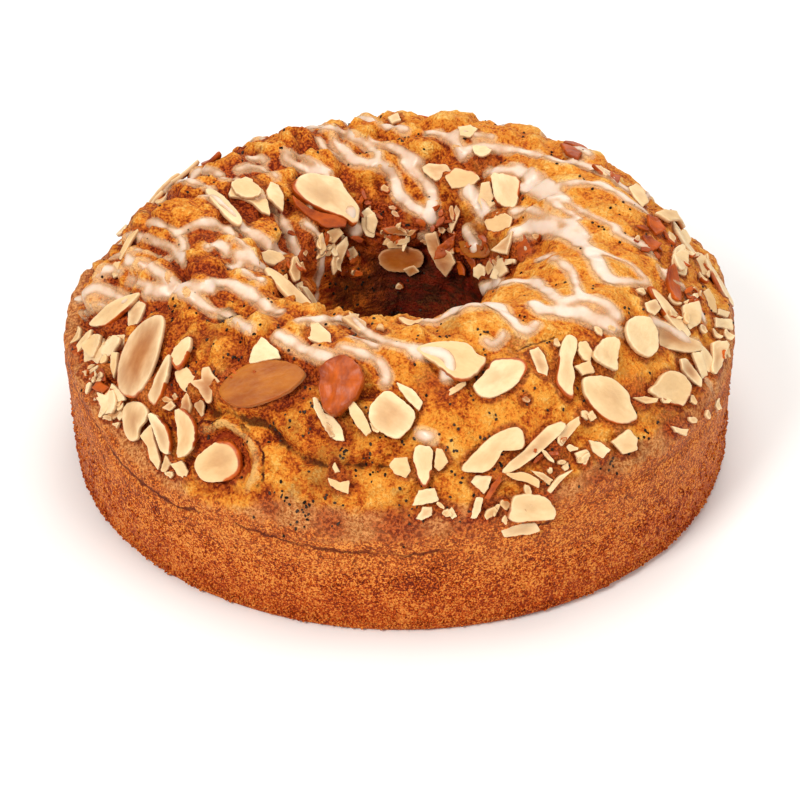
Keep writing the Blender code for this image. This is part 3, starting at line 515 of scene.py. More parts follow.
sliceRandom = random.Random(31)
slices = SlabMaker()
sliceNodes = sorted(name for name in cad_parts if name.startswith("almond_slice"))
for name in sliceNodes:
    outline, place, turn, thickness = slabOutline(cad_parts[name])
    spot = pictureSpot(place)
    nearest = min(sliceLooks, key=lambda key: math.dist(key, spot))
    if math.dist(nearest, spot) < slabs["within"] and place.y < slabs["farthest"]:
        look = dict(zip(("toast", "skin", "side"), sliceLooks[nearest]))
    else:
        look = dict(toast=sliceRandom.uniform(0.0, 0.16 if place.y < 0.03 else 0.40),
                    skin=sliceRandom.choice((0, 0.2, 0.5, 0.8)), side=sliceRandom.uniform(0, 360))
    look["tone"] = sliceRandom.random()
    rounds, ragged = (2, 0.00020) if len(outline) > 9 else (1, 0.00032)
    slices.add(anticlockwise(outline), place, turn, thickness, look, sliceRandom, slabs["steps"],
               rounds, ragged)
almondSlices = slices.asObject("almondSlices")
print("almond slices", len(sliceNodes), "faces", len(almondSlices.data.polygons))

# icing: how finely its sheet is cut, how thick it lies, how deep its edges sink, the gap in depth that
# ends a strand, a strand's half width as a share of its width in the picture, how far above and below
# the net the crust is looked for, and how often the sheet is evened out
icing = dict(columns=1000, spacing=0.00052, thickness=0.00022, sunk=0.00034, jump=0.0060, spread=0.68,
             farHalf=0.0013, step=0.0015, margin=0.0085, above=0.010, searched=0.022, drape=12, soften=3)
# strands as lines in the picture, with their width in pixels
strands = [
    ([(160, 187), (175, 179), (190, 180), (202, 185), (212, 188)], 7), ([(188, 171), (205, 168), (218, 173),
    (224, 179), (240, 178)], 6), ([(238, 169), (252, 165), (266, 169), (277, 177)], 7), ([(250, 158),
    (260, 156), (268, 162)], 6), ([(204, 194), (214, 196), (226, 207), (240, 219), (244, 232)], 8),
    ([(205, 221), (218, 224), (230, 231), (240, 240), (250, 252), (258, 260)], 8), ([(244, 228), (252, 234),
    (264, 239), (272, 246), (280, 253)], 9), ([(180, 233), (190, 226), (206, 220)], 5), ([(150, 222),
    (160, 226), (172, 231), (181, 237), (184, 248), (182, 260)], 7), ([(141, 236), (160, 242), (174, 248),
    (178, 256), (184, 262)], 6), ([(207, 247), (215, 242), (225, 247), (228, 256)], 7), ([(236, 254),
    (248, 260), (258, 266), (266, 268)], 8), ([(231, 268), (237, 265), (246, 271), (256, 278), (264, 281)],
    8), ([(210, 284), (222, 281), (235, 284), (247, 291), (258, 298), (268, 308), (281, 313)], 10),
    ([(128, 261), (145, 263), (158, 270), (166, 278), (178, 284), (190, 285), (200, 288), (211, 285)], 9),
    ([(146, 293), (160, 292), (175, 290), (190, 294), (200, 302), (212, 310), (222, 314), (236, 319),
    (250, 328)], 9), ([(130, 280), (146, 285), (162, 286)], 7), ([(133, 248), (146, 250), (160, 256),
    (172, 260)], 5), ([(256, 196), (267, 203), (276, 213), (285, 223), (291, 236), (296, 250), (298, 262),
    (300, 270)], 7), ([(305, 223), (315, 229), (321, 240), (322, 256), (320, 274), (317, 290), (316, 302)],
    6), ([(307, 207), (310, 215)], 6), ([(285, 158), (300, 167), (313, 172), (326, 172), (338, 183)], 7),
    ([(283, 149), (300, 155), (318, 163), (333, 173)], 5), ([(352, 213), (356, 222), (358, 230)], 13),
    ([(278, 334), (290, 341), (303, 348), (318, 354), (330, 356)], 12), ([(342, 346), (356, 350),
    (370, 355), (381, 364), (388, 374), (384, 384)], 9), ([(352, 336), (366, 342), (378, 346)], 8),
    ([(299, 319), (319, 320), (345, 318), (356, 326), (371, 336), (392, 343), (404, 346)], 9), ([(336, 114),
    (352, 116), (370, 119), (388, 124), (407, 131)], 7), ([(430, 131), (445, 134), (455, 140), (463, 156)],
    9), ([(306, 128), (320, 126), (336, 128), (352, 135), (366, 143), (380, 156)], 8), ([(336, 142),
    (346, 152), (356, 162), (372, 163), (388, 167), (396, 180), (396, 193), (408, 204), (421, 212)], 9),
    ([(318, 140), (330, 150), (342, 158)], 6), ([(370, 140), (392, 146), (410, 156), (424, 165)], 6),
    ([(404, 162), (415, 171), (423, 179), (434, 197), (430, 218)], 9), ([(412, 206), (424, 213),
    (434, 222)], 9), ([(455, 130), (475, 135), (495, 137)], 6), ([(424, 236), (432, 241), (434, 250)], 8),
    ([(468, 150), (480, 146), (500, 148), (520, 151), (545, 156), (565, 162), (590, 167), (610, 176),
    (630, 192)], 8), ([(490, 172), (505, 168), (520, 171), (530, 178), (545, 186), (558, 194), (566, 200)],
    9), ([(470, 190), (478, 200), (485, 214)], 13), ([(512, 163), (530, 169), (545, 177), (553, 187)], 5),
    ([(514, 212), (526, 208), (540, 213), (555, 218), (570, 222), (581, 229), (588, 240)], 8), ([(516, 231),
    (526, 226), (545, 227), (565, 233), (580, 241), (592, 253), (600, 265), (604, 276), (612, 283)], 13),
    ([(540, 259), (550, 256), (560, 262), (570, 270), (577, 285), (580, 297)], 8), ([(482, 290), (495, 284),
    (515, 280), (535, 282), (548, 291), (560, 301), (575, 298), (590, 297), (605, 303), (618, 315)], 10),
    ([(448, 314), (460, 307), (473, 303), (487, 304), (502, 310), (512, 320)], 12), ([(420, 318),
    (434, 322), (446, 316)], 8), ([(535, 305), (545, 312), (560, 311), (580, 314), (600, 321), (612, 329)],
    13), ([(512, 320), (524, 333), (540, 322)], 9), ([(486, 340), (492, 347), (500, 341), (505, 332)], 8),
    ([(565, 200), (590, 215), (605, 221), (620, 229)], 6), ([(598, 183), (615, 190), (632, 202),
    (648, 213)], 8), ([(615, 231), (630, 240), (645, 248), (656, 257)], 7), ([(590, 248), (602, 252),
    (616, 258), (630, 263), (640, 272), (650, 283)], 6), ([(606, 279), (618, 281), (632, 281), (648, 284)],
    7), ([(560, 184), (580, 182), (600, 184)], 6), ([(556, 204), (572, 214), (582, 220)], 6), ([(660, 268),
    (672, 280), (684, 286)], 7), ([(75, 300), (88, 290), (100, 288), (114, 294), (126, 300)], 10),
    ([(80, 312), (95, 305), (110, 306)], 7), ([(96, 276), (108, 270), (122, 272)], 7), ([(110, 258),
    (122, 252), (132, 256)], 6), ([(116, 238), (128, 234), (140, 238)], 6), ([(414, 350), (430, 350),
    (444, 353), (452, 362), (448, 374)], 13), ([(421, 434), (434, 438)], 10), ([(656, 322), (670, 332),
    (684, 342), (700, 347)], 11), ([(690, 300), (700, 310), (706, 324)], 8), ([(718, 412), (717, 430),
    (717, 446)], 3), ([(708, 380), (714, 396), (718, 412)], 4), ([(163, 448), (169, 452)], 6), ([(464, 230),
    (472, 240), (478, 252)], 9), ([(571, 151), (582, 148), (591, 156)], 9), ([(90, 268), (102, 266),
    (114, 270)], 7), ([(520, 186), (534, 190), (548, 198), (560, 206)], 8), ([(524, 240), (528, 252)], 5),
    ([(620, 330), (632, 340), (636, 352)], 5)]

softTree = treeOf(softMesh, almondSlices.data)


def resampled(points, step):
    result, left = [points[0]], step
    for a, b in zip(points, points[1:]):
        span, gone = (b - a).length, 0.0
        while span - gone > left:
            gone += left
            result.append(a.lerp(b, gone / span))
            left = step
        left -= span - gone
    return result


def centreLines(line):
    # the strand's middle on the surface, split where it drops out of sight
    dense = []
    for (u0, v0), (u1, v1) in zip(line, line[1:]):
        count = max(2, int(math.dist((u0, v0), (u1, v1)) / 2))
        dense += [(u0 + (u1 - u0) * k / count, v0 + (v1 - v0) * k / count) for k in range(count)]
    dense.append(line[-1])
    runs = [[]]
    for spot in dense:
        place = seen(softTree, *spot)
        if place is None or (runs[-1] and (place - runs[-1][-1]).length > icing["jump"]):
            runs.append([])
        if place is not None:
            runs[-1].append(place)
    smoothRuns = []
    for run in runs:
        for _ in range(6):
            run = run[:1] + [(a + b * 2 + c) / 4 for a, b, c in zip(run, run[1:], run[2:])] + run[-1:]
        if len(run) > 3:
            smoothRuns.append(resampled(run, icing["step"]))
    return smoothRuns


def outward(bearing, radius, level):
    return Vector((radius * math.cos(bearing), radius * math.sin(bearing), level))


def farPlace(tree, bearing, level):
    # a place on the crown's outer side, found by a line from outside the ring towards its crest
    start = outward(bearing, 0.16, level + 0.060)
    return tree.ray_cast(start, (outward(bearing, 0.070, level) - start).normalized())[0]


icingLines = []
for line, width in strands:
    for run in centreLines(line):
        icingLines.append((run, width * icing["spread"] * (run[0] - eye).length / viewPoint["focal"]))
# one seed serves the far side's almond bits, which draw first, and then its strands
farSide = dict(seed=911, bits=26, drawsPerBit=5, strands=9)
strandRandom = random.Random(farSide["seed"])
for _ in range(farSide["bits"] * farSide["drawsPerBit"]):
    strandRandom.random()
for index in range(farSide["strands"]):
    bearing = math.radians(18 + 17 * index + strandRandom.uniform(-5, 5))
    run = [farPlace(softTree, bearing + 0.045 * k, 0.064 - 0.0045 * k) for k in range(6)]
    run = [place for place in run if place is not None]
    if len(run) > 2:
        icingLines.append((resampled(run, icing["step"]), icing["farHalf"]))
print("icing strands", len(icingLines))

# the glaze round the strands, which also fills the crust's finest crags
film = np.zeros(len(softPlaces))
for run, half in icingLines:
    near = np.where(nearLine(softPlaces, run, 0.006))[0]
    if len(near):
        away = lineDistance(softPlaces[near], run) / half
        film[near] = np.maximum(film[near], 1.0 - eased(away, 0.8, 2.2))
ringMarks["film"] = film * ringMarks["crown"]
ringPlaces = liftedRing(ringHeight + ringFine * (1.0 - 0.75 * film))
# the crust comes up to a slice that would hang above it
onCrown = np.where(ringMarks["crown"] > 0.02)[0]
sliceTree = treeOf(almondSlices.data)
for index in onCrown:
    place, normal = Vector(ringPlaces[index]), Vector(flatNormals[index])
    hit = sliceTree.ray_cast(place - normal * 0.0050, normal, 0.0052)[0]
    if hit is not None:
        ringPlaces[index] = hit + normal * 0.0003
cakeMesh = meshFrom("cakeBody", ringPlaces, ringFaces, smooth=True)
cakeTree = treeOf(cakeMesh)

# small bits traced in the picture, with toast and skin
tracedBits = [
    ([(112, 352), (118, 352), (118, 367), (115, 379), (112, 368)], 0.1, 0), ([(152, 424), (155, 439),
    (162, 461), (159, 470), (151, 459), (148, 446), (141, 436), (148, 427)], 0.1, 0), ([(195, 395),
    (205, 402), (205, 415), (202, 417), (195, 407)], 0.4, 0), ([(175, 372), (187, 367), (194, 376),
    (198, 378), (193, 391), (185, 392), (177, 382)], 0, 0), ([(202, 368), (210, 367), (213, 374),
    (221, 382), (213, 388), (212, 402), (207, 404), (199, 390), (191, 382), (202, 379)], 0.5, 0),
    ([(172, 464), (182, 460), (190, 471), (187, 480), (179, 475)], 0.1, 0), ([(166, 455), (172, 464),
    (166, 473), (161, 470)], 0.2, 0), ([(396, 382), (412, 389), (423, 402), (419, 411), (409, 402),
    (400, 391)], 0.1, 0), ([(389, 466), (394, 458), (407, 457), (411, 471), (406, 478), (394, 473)], 0.1,
    0), ([(332, 467), (335, 462), (340, 472), (335, 473)], 0, 0), ([(328, 477), (340, 482), (350, 480),
    (349, 494), (340, 491), (331, 485)], 0, 0), ([(342, 317), (354, 315), (366, 324), (367, 329),
    (359, 332), (350, 325)], 0.5, 0), ([(398, 321), (402, 319), (414, 323), (424, 322), (421, 329),
    (407, 327)], 0.1, 0), ([(443, 395), (451, 388), (466, 380), (466, 385), (457, 392), (447, 397)], 0.1,
    0), ([(529, 351), (538, 347), (544, 355), (548, 369), (545, 382), (538, 375), (533, 361)], 0.35, 0.3),
    ([(575, 366), (589, 361), (595, 373), (582, 376)], 0.1, 0), ([(557, 434), (570, 422), (578, 416),
    (579, 424), (568, 438), (561, 447), (557, 443)], 0.2, 0), ([(575, 453), (586, 449), (591, 456),
    (585, 460), (577, 459)], 0.1, 0), ([(500, 472), (509, 462), (522, 452), (534, 439), (548, 426),
    (560, 421), (567, 424), (559, 435), (547, 446), (533, 458), (517, 469), (506, 474)], 0.3, 0.4),
    ([(588, 440), (599, 442), (610, 450), (602, 459), (593, 452)], 0.1, 0), ([(436, 448), (442, 449),
    (448, 462), (439, 472), (434, 467)], 0.1, 0), ([(475, 475), (492, 476), (489, 486), (484, 495),
    (471, 482)], 0.1, 0), ([(499, 475), (502, 479), (489, 500), (484, 498), (492, 484)], 0.8, 2),
    ([(504, 473), (525, 472), (539, 480), (538, 488), (526, 482), (512, 479)], 0, 0), ([(530, 470),
    (542, 473), (553, 480), (549, 485), (538, 477)], 0.3, 0), ([(572, 469), (561, 480), (550, 493),
    (546, 491), (557, 477)], 0.1, 0), ([(500, 530), (516, 524), (535, 522), (540, 530), (530, 534),
    (504, 537)], 0.2, 0), ([(476, 496), (483, 497), (480, 511), (476, 518), (470, 518)], 0.1, 0),
    ([(412, 506), (419, 490), (435, 488), (439, 501), (426, 504)], 0.15, 0), ([(416, 519), (423, 507),
    (432, 507), (432, 515), (421, 520)], 0.3, 0), ([(447, 511), (452, 507), (457, 516), (452, 519)], 0.1,
    0), ([(692, 352), (700, 352), (708, 377), (701, 379)], 0.05, 0), ([(630, 398), (645, 397), (655, 399),
    (655, 403), (645, 404)], 0.2, 0), ([(628, 429), (636, 438), (636, 450), (623, 455), (617, 448),
    (610, 442)], 0.15, 0), ([(670, 426), (682, 429), (687, 429), (685, 436), (675, 432)], 0.1, 0),
    ([(494, 253), (508, 255), (515, 232), (503, 241)], 0.45, 0), ([(514, 237), (524, 234), (533, 250),
    (531, 264), (520, 262)], 0.6, 2), ([(76, 352), (80, 343), (88, 333), (94, 330), (92, 338), (84, 346),
    (80, 353)], 0.1, 0), ([(92, 388), (100, 381), (110, 388), (104, 393), (98, 391)], 0.8, 2), ([(96, 382),
    (103, 374), (109, 370), (108, 377), (100, 384)], 0.2, 0.9), ([(102, 419), (115, 411), (123, 408),
    (123, 414), (113, 420)], 0.45, 0), ([(164, 408), (172, 401), (177, 406), (170, 411)], 0.4, 0),
    ([(183, 399), (188, 392), (192, 405), (190, 414), (182, 410)], 0.5, 0), ([(104, 345), (110, 336),
    (116, 340), (108, 352)], 0.5, 0), ([(674, 234), (684, 230), (690, 240), (686, 250), (676, 246)], 0.1,
    0), ([(703, 292), (708, 288), (714, 300), (716, 314), (708, 310)], 0.0, 0), ([(683, 305), (698, 301),
    (701, 312), (700, 323), (690, 330), (684, 320)], 0.05, 0), ([(645, 303), (655, 300), (661, 308),
    (655, 315), (647, 311)], 0.3, 0), ([(700, 345), (708, 352), (713, 365), (711, 376), (703, 370),
    (699, 358)], 0.1, 0), ([(717, 309), (728, 313), (726, 318), (716, 315)], 0, 0), ([(714, 318),
    (730, 320), (731, 331), (722, 328), (714, 328)], 0.1, 0), ([(628, 188), (636, 184), (643, 190),
    (648, 203), (642, 208), (634, 200)], 0.1, 0), ([(655, 213), (664, 210), (676, 212), (680, 220),
    (668, 222)], 0.15, 0.2), ([(326, 232), (338, 226), (342, 234), (334, 243), (327, 241)], 0.3, 0),
    ([(322, 246), (334, 240), (336, 248), (329, 256), (323, 256)], 0.2, 0), ([(336, 246), (346, 236),
    (348, 244), (339, 268), (333, 276), (331, 262)], 0.35, 0), ([(292, 258), (296, 256), (300, 266),
    (299, 280), (294, 283), (289, 272)], 0.4, 0), ([(296, 284), (301, 282), (303, 290), (298, 293)], 0, 0),
    ([(256, 255), (268, 251), (280, 254), (284, 260), (274, 266), (263, 263)], 0.05, 0), ([(280, 278),
    (286, 274), (288, 282), (283, 286)], 0.1, 0), ([(456, 206), (460, 196), (464, 204), (457, 222),
    (452, 234), (449, 224)], 0.3, 0), ([(482, 184), (490, 182), (496, 204), (484, 214), (478, 202)], 0.1,
    0), ([(496, 262), (504, 258), (508, 272), (500, 278), (494, 270)], 0.1, 0), ([(486, 268), (491, 258),
    (494, 268), (489, 276)], 0.4, 0), ([(366, 216), (374, 212), (378, 222), (374, 234), (366, 230)], 0.1,
    0), ([(560, 143), (568, 146), (582, 154), (578, 160), (566, 154)], 0.7, 2), ([(592, 166), (600, 166),
    (612, 174), (606, 177)], 0.3, 0.9), ([(610, 172), (620, 178), (618, 184), (610, 178)], 0.5, 2),
    ([(668, 232), (676, 238), (674, 246), (667, 240)], 0.2, 1), ([(640, 238), (650, 236), (660, 247),
    (652, 252)], 0.7, 2), ([(646, 216), (656, 218), (664, 232), (656, 236), (648, 226)], 0.7, 2),
    ([(586, 414), (592, 410), (596, 418), (590, 422)], 0.1, 0), ([(672, 256), (680, 250), (688, 252),
    (688, 262), (685, 276), (676, 274), (671, 266)], 0.05, 0), ([(689, 252), (700, 254), (708, 264),
    (713, 276), (704, 277), (695, 270), (690, 262)], 0, 0), ([(650, 315), (668, 325), (682, 335),
    (700, 343), (703, 350), (690, 353), (668, 350), (657, 352), (652, 330)], 0.45, 0), ([(677, 360),
    (684, 358), (692, 366), (699, 380), (699, 388), (690, 380), (680, 370)], 0.4, 0), ([(579, 342),
    (586, 341), (592, 352), (590, 362), (582, 360), (578, 350)], 0.1, 0), ([(129, 306), (140, 300),
    (148, 302), (142, 318), (133, 334), (128, 325)], 0.3, 0.3), ([(84, 345), (94, 336), (104, 338),
    (107, 352), (98, 366), (88, 370), (84, 360)], 0.15, 0), ([(106, 346), (114, 336), (126, 335),
    (128, 342), (118, 352), (108, 354)], 0.1, 0), ([(98, 392), (108, 396), (113, 384), (124, 392),
    (127, 400), (113, 404), (104, 415), (102, 404)], 0, 0), ([(249, 364), (252, 350), (262, 337),
    (278, 350), (281, 358), (270, 360), (258, 363)], 0, 0), ([(298, 330), (306, 322), (318, 324),
    (330, 334), (332, 346), (320, 344), (306, 338)], 0, 0), ([(313, 397), (318, 398), (322, 412),
    (334, 417), (342, 428), (345, 442), (334, 440), (322, 424), (314, 408)], 0, 0), ([(348, 404),
    (352, 399), (364, 414), (372, 432), (366, 436), (358, 428), (350, 414)], 0, 0), ([(290, 196),
    (300, 206), (318, 212), (335, 216), (346, 222), (344, 228), (325, 228), (306, 216), (294, 206)], 0.9,
    2), ([(361, 212), (368, 207), (374, 213), (376, 225), (374, 238), (366, 236), (361, 226)], 0.05, 0),
    ([(386, 242), (394, 239), (407, 242), (406, 248), (388, 248)], 0.3, 0), ([(434, 260), (436, 248),
    (446, 240), (456, 234), (454, 246), (444, 258)], 0.9, 2), ([(475, 268), (480, 264), (486, 268),
    (486, 278), (480, 281), (475, 276)], 0.1, 0), ([(425, 234), (436, 231), (440, 246), (452, 252),
    (457, 262), (447, 277), (438, 268), (430, 252)], 0.6, 0), ([(380, 228), (394, 226), (410, 230),
    (406, 236), (388, 234)], 0.7, 1), ([(346, 250), (353, 246), (358, 254), (350, 262)], 0.4, 0),
    ([(404, 268), (414, 264), (420, 270), (410, 276)], 0.6, 0), ([(318, 236), (322, 232), (326, 250),
    (320, 256)], 0.2, 0), ([(458, 242), (468, 240), (482, 246), (492, 242), (496, 250), (486, 258),
    (470, 258), (462, 252)], 1.3, 0.3), ([(491, 279), (497, 262), (504, 259), (517, 260), (516, 264),
    (504, 264), (500, 272), (498, 280)], 0, 0), ([(299, 286), (305, 288), (314, 300), (320, 312),
    (318, 318), (308, 302)], 0.3, 1), ([(228, 193), (236, 181), (246, 178), (256, 182), (264, 192),
    (268, 205), (270, 217), (262, 214), (252, 203), (240, 198), (230, 197)], 0.1, 0), ([(266, 192),
    (270, 182), (278, 186), (284, 198), (283, 212), (276, 206), (268, 198)], 0, 0), ([(135, 216),
    (141, 215), (138, 232), (130, 246), (122, 260), (116, 264), (124, 248), (131, 234)], 0.15, 0),
    ([(110, 268), (116, 262), (124, 262), (122, 274), (114, 278)], 0, 0), ([(445, 178), (455, 168),
    (475, 172), (481, 180), (470, 187), (452, 189)], 0.05, 0.6), ([(420, 163), (447, 165), (452, 172),
    (436, 182), (424, 172)], 0.35, 0), ([(458, 128), (470, 126), (478, 130), (470, 138), (460, 136)], 0, 0),
    ([(388, 119), (398, 114), (401, 121), (392, 124)], 0.2, 0), ([(485, 222), (490, 214), (502, 212),
    (513, 218), (511, 228), (499, 234), (488, 230)], 0, 0)]
# more small bits: centre in the picture, length and width in pixels, turn in degrees, toast, skin
smallBits = [
    ((80, 338), 22, 8, -50, 0.2, 0), ((353, 320), 12, 8, 10, 0.3, 0), ((584, 415), 11, 8, 60, 0.1, 0),
    ((578, 460), 10, 6, 30, 0.1, 0), ((446, 512), 9, 7, 20, 0.2, 0), ((490, 512), 16, 8, -40, 0.3, 0),
    ((505, 503), 10, 12, 80, 0.3, 0.8), ((440, 505), 10, 5, 40, 0.1, 0), ((330, 430), 18, 7, 65, 0.5, 0),
    ((375, 428), 14, 6, 50, 0.2, 0), ((168, 400), 12, 6, 20, 0.6, 0), ((177, 398), 10, 6, 80, 0.4, 1),
    ((173, 474), 9, 7, 40, 0.2, 0), ((190, 421), 8, 5, 20, 0.5, 1), ((120, 425), 10, 6, 30, 0.2, 0),
    ((112, 418), 12, 5, 10, 0.3, 0), ((662, 400), 12, 7, 20, 0.1, 0), ((690, 420), 12, 6, 10, 0.2, 0),
    ((715, 405), 14, 7, 70, 0.2, 0), ((676, 345), 12, 8, 60, 0.3, 1), ((640, 293), 12, 7, 30, 0.3, 0),
    ((724, 350), 16, 8, 80, 0.2, 0), ((556, 345), 10, 6, 70, 0.1, 0), ((597, 332), 12, 7, 50, 0.2, 0),
    ((380, 330), 10, 6, 20, 0.2, 0), ((362, 215), 14, 10, 40, 0.3, 1.6), ((575, 148), 26, 9, 15, 0.3, 2),
    ((482, 153), 20, 12, 20, 0.1, 0), ((637, 175), 16, 8, 40, 0.2, 1), ((700, 330), 12, 8, 60, 0.3, 1),
    ((690, 400), 14, 7, 40, 0.2, 0), ((705, 415), 10, 6, 60, 0.3, 0), ((648, 345), 10, 7, 30, 0.5, 1),
    ((610, 330), 9, 6, 30, 0.3, 0), ((525, 400), 9, 6, 30, 0.6, 1), ((385, 190), 12, 7, 40, 0.4, 1),
    ((430, 172), 12, 7, 20, 0.3, 1), ((540, 240), 8, 6, 20, 0.5, 1), ((474, 262), 16, 9, 60, 0.6, 2),
    ((462, 268), 18, 9, 70, 0.7, 2), ((400, 285), 9, 6, 0, 0.5, 1)]
# shards of brown skin and broken slivers lie in drifts: centre and spread in the picture, how many
shards = dict(length=(8.0, 18.0), width=(3.5, 6.5), thin=0.65, lift=0.0003, tilt=0.45, toast=0.5,
              skins=(2, 2, 2, 0.8), steps=14, seed=12)
slivers = dict(length=(8.0, 19.0), width=(4.0, 8.0), thin=0.90, lift=0.0002, tilt=0.30, toast=0.15,
               skins=(0, 0, 0.6, 0.9), steps=16, seed=21)
shardDrifts = [
    ((374, 212), (20, 12), 16), ((402, 232), (22, 5), 10), ((438, 238), (13, 9), 9), ((470, 250), (16, 9),
    12), ((299, 264), (7, 20), 12), ((330, 238), (12, 8), 6), ((104, 372), (12, 12), 8), ((690, 305),
    (10, 16), 8), ((648, 246), (20, 12), 6), ((545, 440), (30, 14), 6), ((232, 374), (14, 6), 6),
    ((440, 215), (16, 8), 6), ((352, 262), (10, 14), 8), ((505, 262), (10, 8), 5)]
sliverDrifts = [
    ((694, 262), (12, 24), 9), ((676, 306), (12, 14), 6), ((98, 372), (12, 24), 9), ((120, 412), (14, 10),
    5), ((560, 455), (30, 14), 6), ((500, 505), (24, 10), 5), ((718, 345), (5, 18), 5), ((330, 250),
    (12, 16), 6), ((400, 240), (24, 6), 4)]
bitSizes = dict(thickness=(0.0010, 0.0015), tracedSteps=36, smallSteps=32, farSteps=26, farThickness=0.0014)
bits = SlabMaker()


def addTraced(outline, toast, skin, rng):
    # each corner is carried along its line of sight to the plane the bit lies in
    u, v = sum(p[0] for p in outline) / len(outline), sum(p[1] for p in outline) / len(outline)
    place = seen(cakeTree, u, v)
    if place is None:
        return
    normal = (smoothNormal(place) + 0.30 * (eye - place).normalized()).normalized()
    thickness = rng.uniform(*bitSizes["thickness"])
    place = place + normal * thickness * rng.uniform(0.5, 0.9)
    turn = turnOn(normal, viewRight)
    inverse = turn.transposed()
    flat = []
    for corner in outline:
        ray = sight(*corner)
        reach = (place - eye).dot(normal) / ray.dot(normal)
        flat.append(tuple((inverse @ (eye + ray * reach - place)).xy))
    look = dict(toast=toast, skin=skin, side=rng.uniform(0, 360), tone=rng.random())
    bits.add(anticlockwise(flat), place, turn, thickness, look, rng, bitSizes["tracedSteps"])


def addBit(centre, length, width, degrees, toast, skin, rng, thin=1.0, lift=0.0, tilt=0.0,
           steps=bitSizes["smallSteps"]):
    place = seen(cakeTree, *centre)
    if place is None:
        return
    normal = (smoothNormal(place) + 0.25 * (eye - place).normalized()).normalized()
    scale = (place - eye).length / viewPoint["focal"]
    angle = math.radians(degrees)
    way = viewRight * math.cos(angle) - viewUp * math.sin(angle)
    turn = turnOn(normal, way) @ Matrix.Rotation(tilt, 3, "Y")
    corners = rng.choice((5, 6, 7))
    outline = []
    for k in range(corners):
        t = 2 * math.pi * (k + rng.uniform(0.2, 0.8)) / corners
        outline.append((math.cos(t) * length * scale * 0.54 * rng.uniform(0.82, 1.1),
                        math.sin(t) * width * scale * 0.58 * rng.uniform(0.82, 1.1)))
    look = dict(toast=toast, skin=skin, side=rng.uniform(0, 360), tone=rng.random())
    thickness = rng.uniform(*bitSizes["thickness"]) * thin
    bits.add(outline, place + normal * (thickness * 0.6 + lift), turn, thickness, look, rng, steps)


def addDrifts(drifts, kind):
    rng = random.Random(kind["seed"])
    for centre, reach, count in drifts:
        for _ in range(count):
            spot = [middle + rng.gauss(0.0, 0.6) * wide for middle, wide in zip(centre, reach)]
            addBit(spot, rng.uniform(*kind["length"]), rng.uniform(*kind["width"]), rng.uniform(0, 180),
                   kind["toast"], rng.choice(kind["skins"]), rng, kind["thin"], kind["lift"],
                   rng.choice((-1, 1)) * rng.uniform(0.4, 1.0) * kind["tilt"], kind["steps"])


def almondShape(length, width, rng):
    points = []
    for i in range(11):
        t = 2 * math.pi * (i + 0.5) / 11
        x, y = math.cos(t), math.sin(t)
        points.append((x * length / 2, y * width / 2 * (1.0 - 0.30 * x) * (1 + 0.05 * (rng.random() - 0.5))))
    return points


bitRandom = random.Random(77)
for outline, toast, skin in tracedBits:
    addTraced(outline, toast, skin, bitRandom)
for centre, length, width, degrees, toast, skin in smallBits:
    addBit(centre, length, width, degrees, toast, skin, bitRandom)
farRandom = random.Random(farSide["seed"])
for index in range(farSide["bits"]):
    bearing = math.radians(farRandom.uniform(8, 172))
    level = farRandom.uniform(0.036, 0.056)
    length, width = farRandom.uniform(0.006, 0.012), farRandom.uniform(0.003, 0.006)
    spin = farRandom.uniform(0, math.pi)
    place = farPlace(cakeTree, bearing, level)
    if place is not None:
        normal = smoothNormal(place)
        turn = turnOn(normal, outward(bearing + math.pi / 2, 1.0, 0.0)) @ Matrix.Rotation(spin, 3, "Z")
        look = dict(toast=bitRandom.uniform(0, 0.5), skin=bitRandom.choice((0, 0, 0.6, 2)), side=0,
                    tone=bitRandom.random())
        bits.add(almondShape(length, width, bitRandom), place + normal * 0.0008, turn,
                 bitSizes["farThickness"], look, bitRandom, bitSizes["farSteps"], 1, 0.0002)
addDrifts(shardDrifts, shards)
addDrifts(sliverDrifts, slivers)
almondBits = bits.asObject("almondBits")
print("almond bits faces", len(almondBits.data.polygons))


def spreadOut(values, times):
    # each number moved towards its neighbours' mean; columns join round the ring
    for _ in range(times):
        padded = np.pad(values, ((1, 1), (0, 0)), mode="edge")
        values = (padded[:-2] + 2 * values + padded[2:]) / 4
        values = (np.roll(values, 1, axis=1) + 2 * values + np.roll(values, -1, axis=1)) / 4
    return values


def icingNet():
    # a fine net over the crown, from inside the hole to just below the pan line, with its normals
    outer = next(i for i in range(len(section)) if section[i][1] < ring["panLine"] - 0.004)
    inner = next(i for i in range(outer + 20, len(section))
                 if section[i][0] < 0.03 and section[i][1] > 0.012)
    line = [Vector((r, 0, z)) for r, z in np.vstack([section[inner:], section[:outer]])]
    points = np.array([(p.x, p.z) for p in resampled(line, icing["spacing"])])
    tangent = np.gradient(points, axis=0)
    for _ in range(6):
        tangent[1:-1] = (tangent[:-2] + 2 * tangent[1:-1] + tangent[2:]) / 4
    return turned(points, icing["columns"]), turned(squareTo(tangent), icing["columns"]), len(points)


